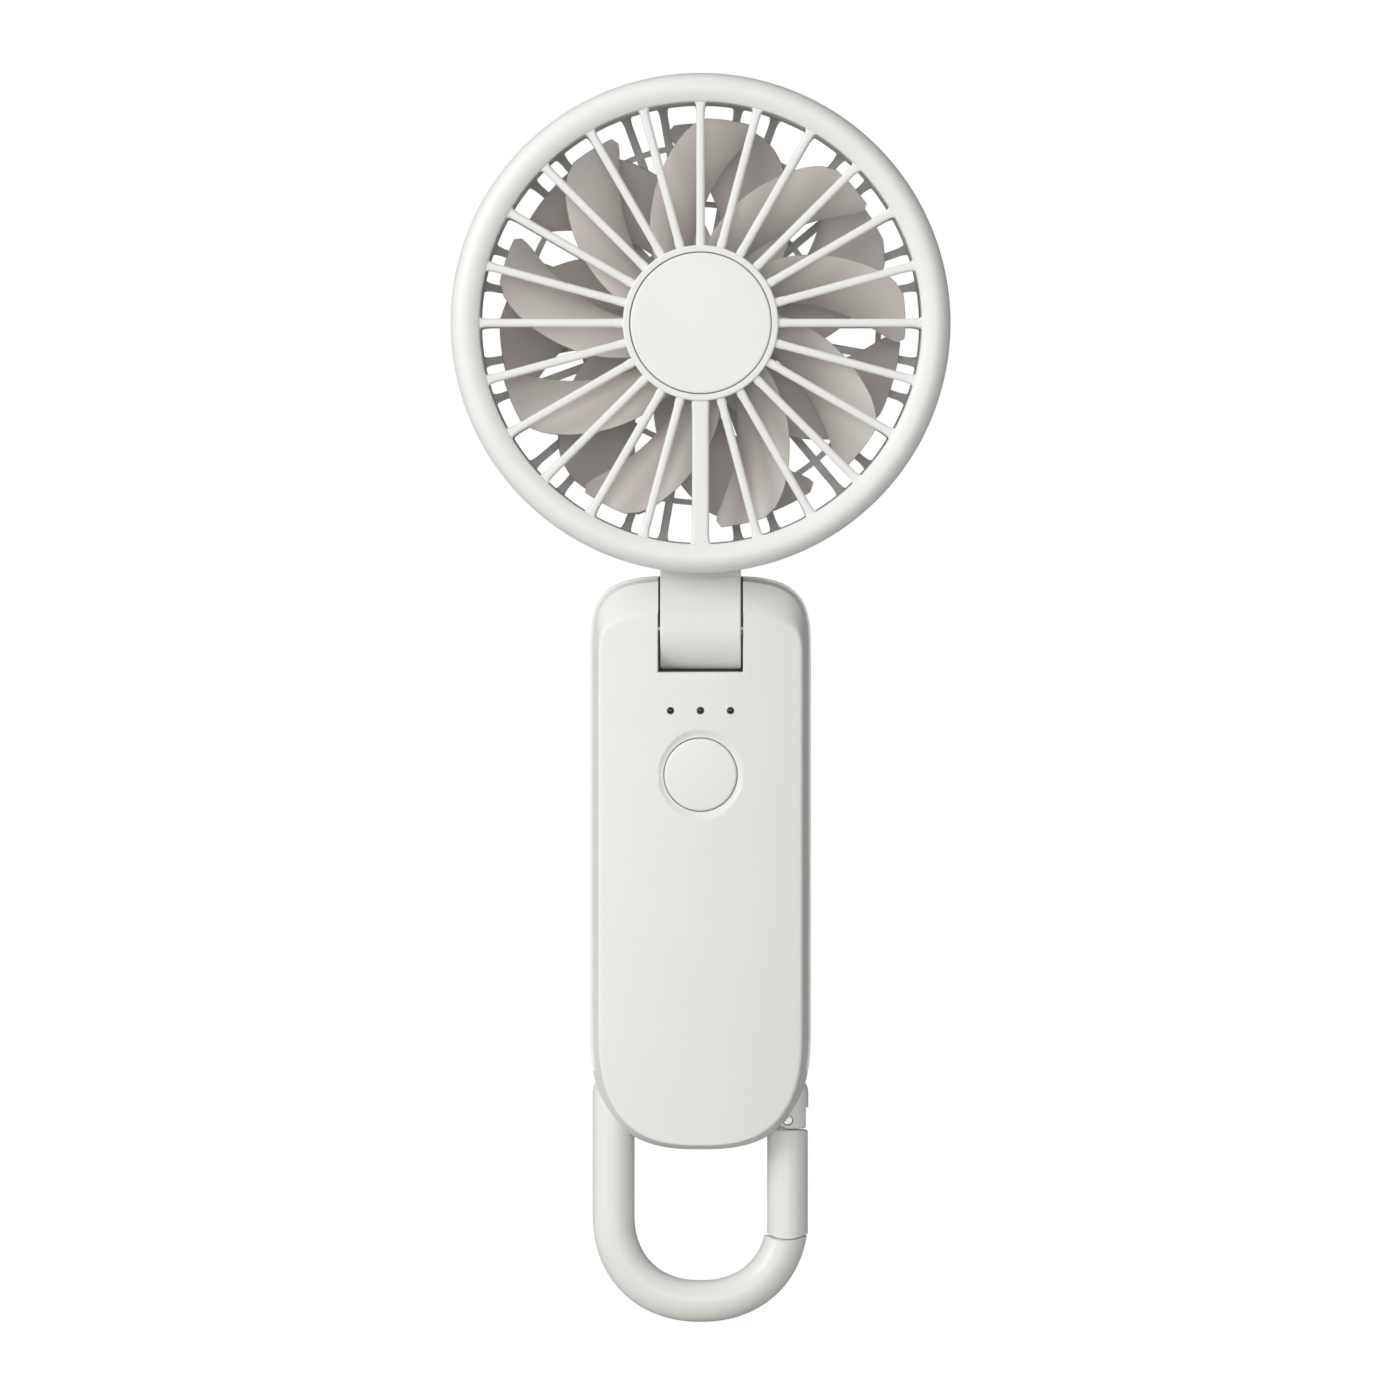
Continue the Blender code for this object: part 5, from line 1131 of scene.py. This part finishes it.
# %% Build the gate
gate_radius = ARM_RADIUS - 0.1 * MM
gate_profile = [(0, NOSE - 1 * MM), (gate_radius, NOSE - 1 * MM), (gate_radius, GATE_TOP - CLIP_EDGE)]
gate_profile += [(gate_radius - CLIP_EDGE, GATE_TOP), (0, GATE_TOP)]
gate = turned("gate_bar", gate_profile, (ARM_X, ARM_Y, 0), 40, "Z")
combine(gate, "INTERSECT", [seam_tool("keep", NOSE + 0.35 * MM, GATE_TOP + 1 * MM)])
tongue_front, eye = ARM_Y - 1.65 * MM, (ARM_X, 0, GATE_PIN.z)
tongue_back = tongue_front + TONGUE_DEPTH
tongue = rod("tongue", TONGUE_RADIUS, tongue_front, tongue_back, eye, 40)
join(tongue, box("web", (ARM_X - TONGUE_RADIUS, tongue_front, GATE_TOP - 2.5 * MM),
                 (ARM_X + TONGUE_RADIUS, tongue_back, GATE_PIN.z)))
join(gate, tongue)
cut(gate, rod("pin_hole", PIN_HOLE, tongue_front - 1 * MM, tongue_back + 1 * MM, eye, 24))
settle(gate, CLIP_ACETAL, "clip_gate", "clip_plastic", "clip_gate")

# %% [markdown]
# ## Floor, light and camera
# The stage is a plain pale floor under a white sky that gives light only from the front
# left and above, as a large window does, so that edges on the right and underneath turn
# grey. A soft panel on the left and one in front add a little shape. The floor shows light
# of its own to the camera, so that it stays pale and its shadow faint. A long lens from
# far away keeps the round head round.

# %% Floor
FLOOR_Z = cad_low.z - 1 * MM
floor = box("floor", (-3, -3, FLOOR_Z - 2 * MM), (3, 3, FLOOR_Z))
pale = bpy.data.materials.new("pale_matt_floor")
pale.use_nodes = True
tree = pale.node_tree
shader = tree.nodes["Principled BSDF"]
shader.inputs["Base Color"].default_value = linear("#D8D8D6")
shader.inputs["Roughness"].default_value = 0.9
glow = add(tree, "ShaderNodeEmission", {"Color": (1.0, 1.0, 1.0, 1.0), "Strength": 1.12})
ray = add(tree, "ShaderNodeLightPath")
share = add(tree, "ShaderNodeMath", {"operation": "MULTIPLY", 1: 0.86}, {0: ray.outputs["Is Camera Ray"]})
blend = add(tree, "ShaderNodeMixShader", None,
            {0: share.outputs["Value"], 1: shader.outputs["BSDF"], 2: glow.outputs["Emission"]})
tree.links.new(blend.outputs["Shader"], tree.nodes["Material Output"].inputs["Surface"])
floor.data.materials.append(pale)

# %% Sky and panels
scene = bpy.context.scene
scene.view_settings.view_transform = "Standard"
world = bpy.data.worlds.new("white_studio")
world.use_nodes = True
scene.world = world
tree = world.node_tree
sky = tree.nodes["Background"]
heading = add(tree, "ShaderNodeTexCoord").outputs["Generated"]
WINDOW_SIDE = Vector((-0.46, -0.80, 0.38)).normalized()
SKY_STRENGTH = 0.66
towards = add(tree, "ShaderNodeVectorMath", {"operation": "DOT_PRODUCT", 1: WINDOW_SIDE}, {0: heading})
bright = add(tree, "ShaderNodeMapRange",
             {"From Min": -0.08, "From Max": 0.28, "To Min": 0.0, "To Max": SKY_STRENGTH},
             {"Value": towards.outputs["Value"]})
sky.inputs["Color"].default_value = (1.0, 1.0, 1.0, 1.0)
tree.links.new(bright.outputs["Result"], sky.inputs["Strength"])
seen = add(tree, "ShaderNodeBackground", {"Color": (1.0, 1.0, 1.0, 1.0), "Strength": 1.0})
ray = add(tree, "ShaderNodeLightPath")
either = add(tree, "ShaderNodeMixShader", None,
             {0: ray.outputs["Is Camera Ray"], 1: sky.outputs["Background"], 2: seen.outputs["Background"]})
tree.links.new(either.outputs["Shader"], tree.nodes["World Output"].inputs["Surface"])


def panel(name, place, aim, size, watts):
    light = bpy.data.lights.new(name, "AREA")
    light.shape, light.size, light.energy = "DISK", size, watts
    lamp = bpy.data.objects.new(name, light)
    scene.collection.objects.link(lamp)
    lamp.location = place
    lamp.rotation_mode = "QUATERNION"
    lamp.rotation_quaternion = (Vector(aim) - Vector(place)).to_track_quat("-Z", "Y")
    lamp.visible_camera = False
    return lamp


MIDDLE = (cad_low + cad_high) / 2
panel("key_panel", (-0.98, -0.86, 0.48), MIDDLE, 0.8, 8.5)
panel("front_panel", (-0.1, -2.3, 0.35), MIDDLE, 0.7, 8.5)

# %% Camera
DISTANCE = 2.5
FRAME_WIDTH = 247.9 * MM
rise = math.radians(1.0)
aim = Vector((-0.1 * MM, 0, 28.7 * MM))
camera = bpy.data.objects.new("camera", bpy.data.cameras.new("camera"))
scene.collection.objects.link(camera)
camera.data.sensor_width = 36.0
camera.data.lens = 36.0 * DISTANCE / FRAME_WIDTH
camera.data.clip_start, camera.data.clip_end = 0.1, 20.0
back = Vector((0, -math.cos(rise), math.sin(rise)))
camera.location = aim + DISTANCE * back
camera.rotation_mode = "QUATERNION"
camera.rotation_quaternion = (-back).to_track_quat("-Z", "Y")
scene.camera = camera
print("lens", round(camera.data.lens), "mm, frame", round(1000 * FRAME_WIDTH, 1), "mm wide")
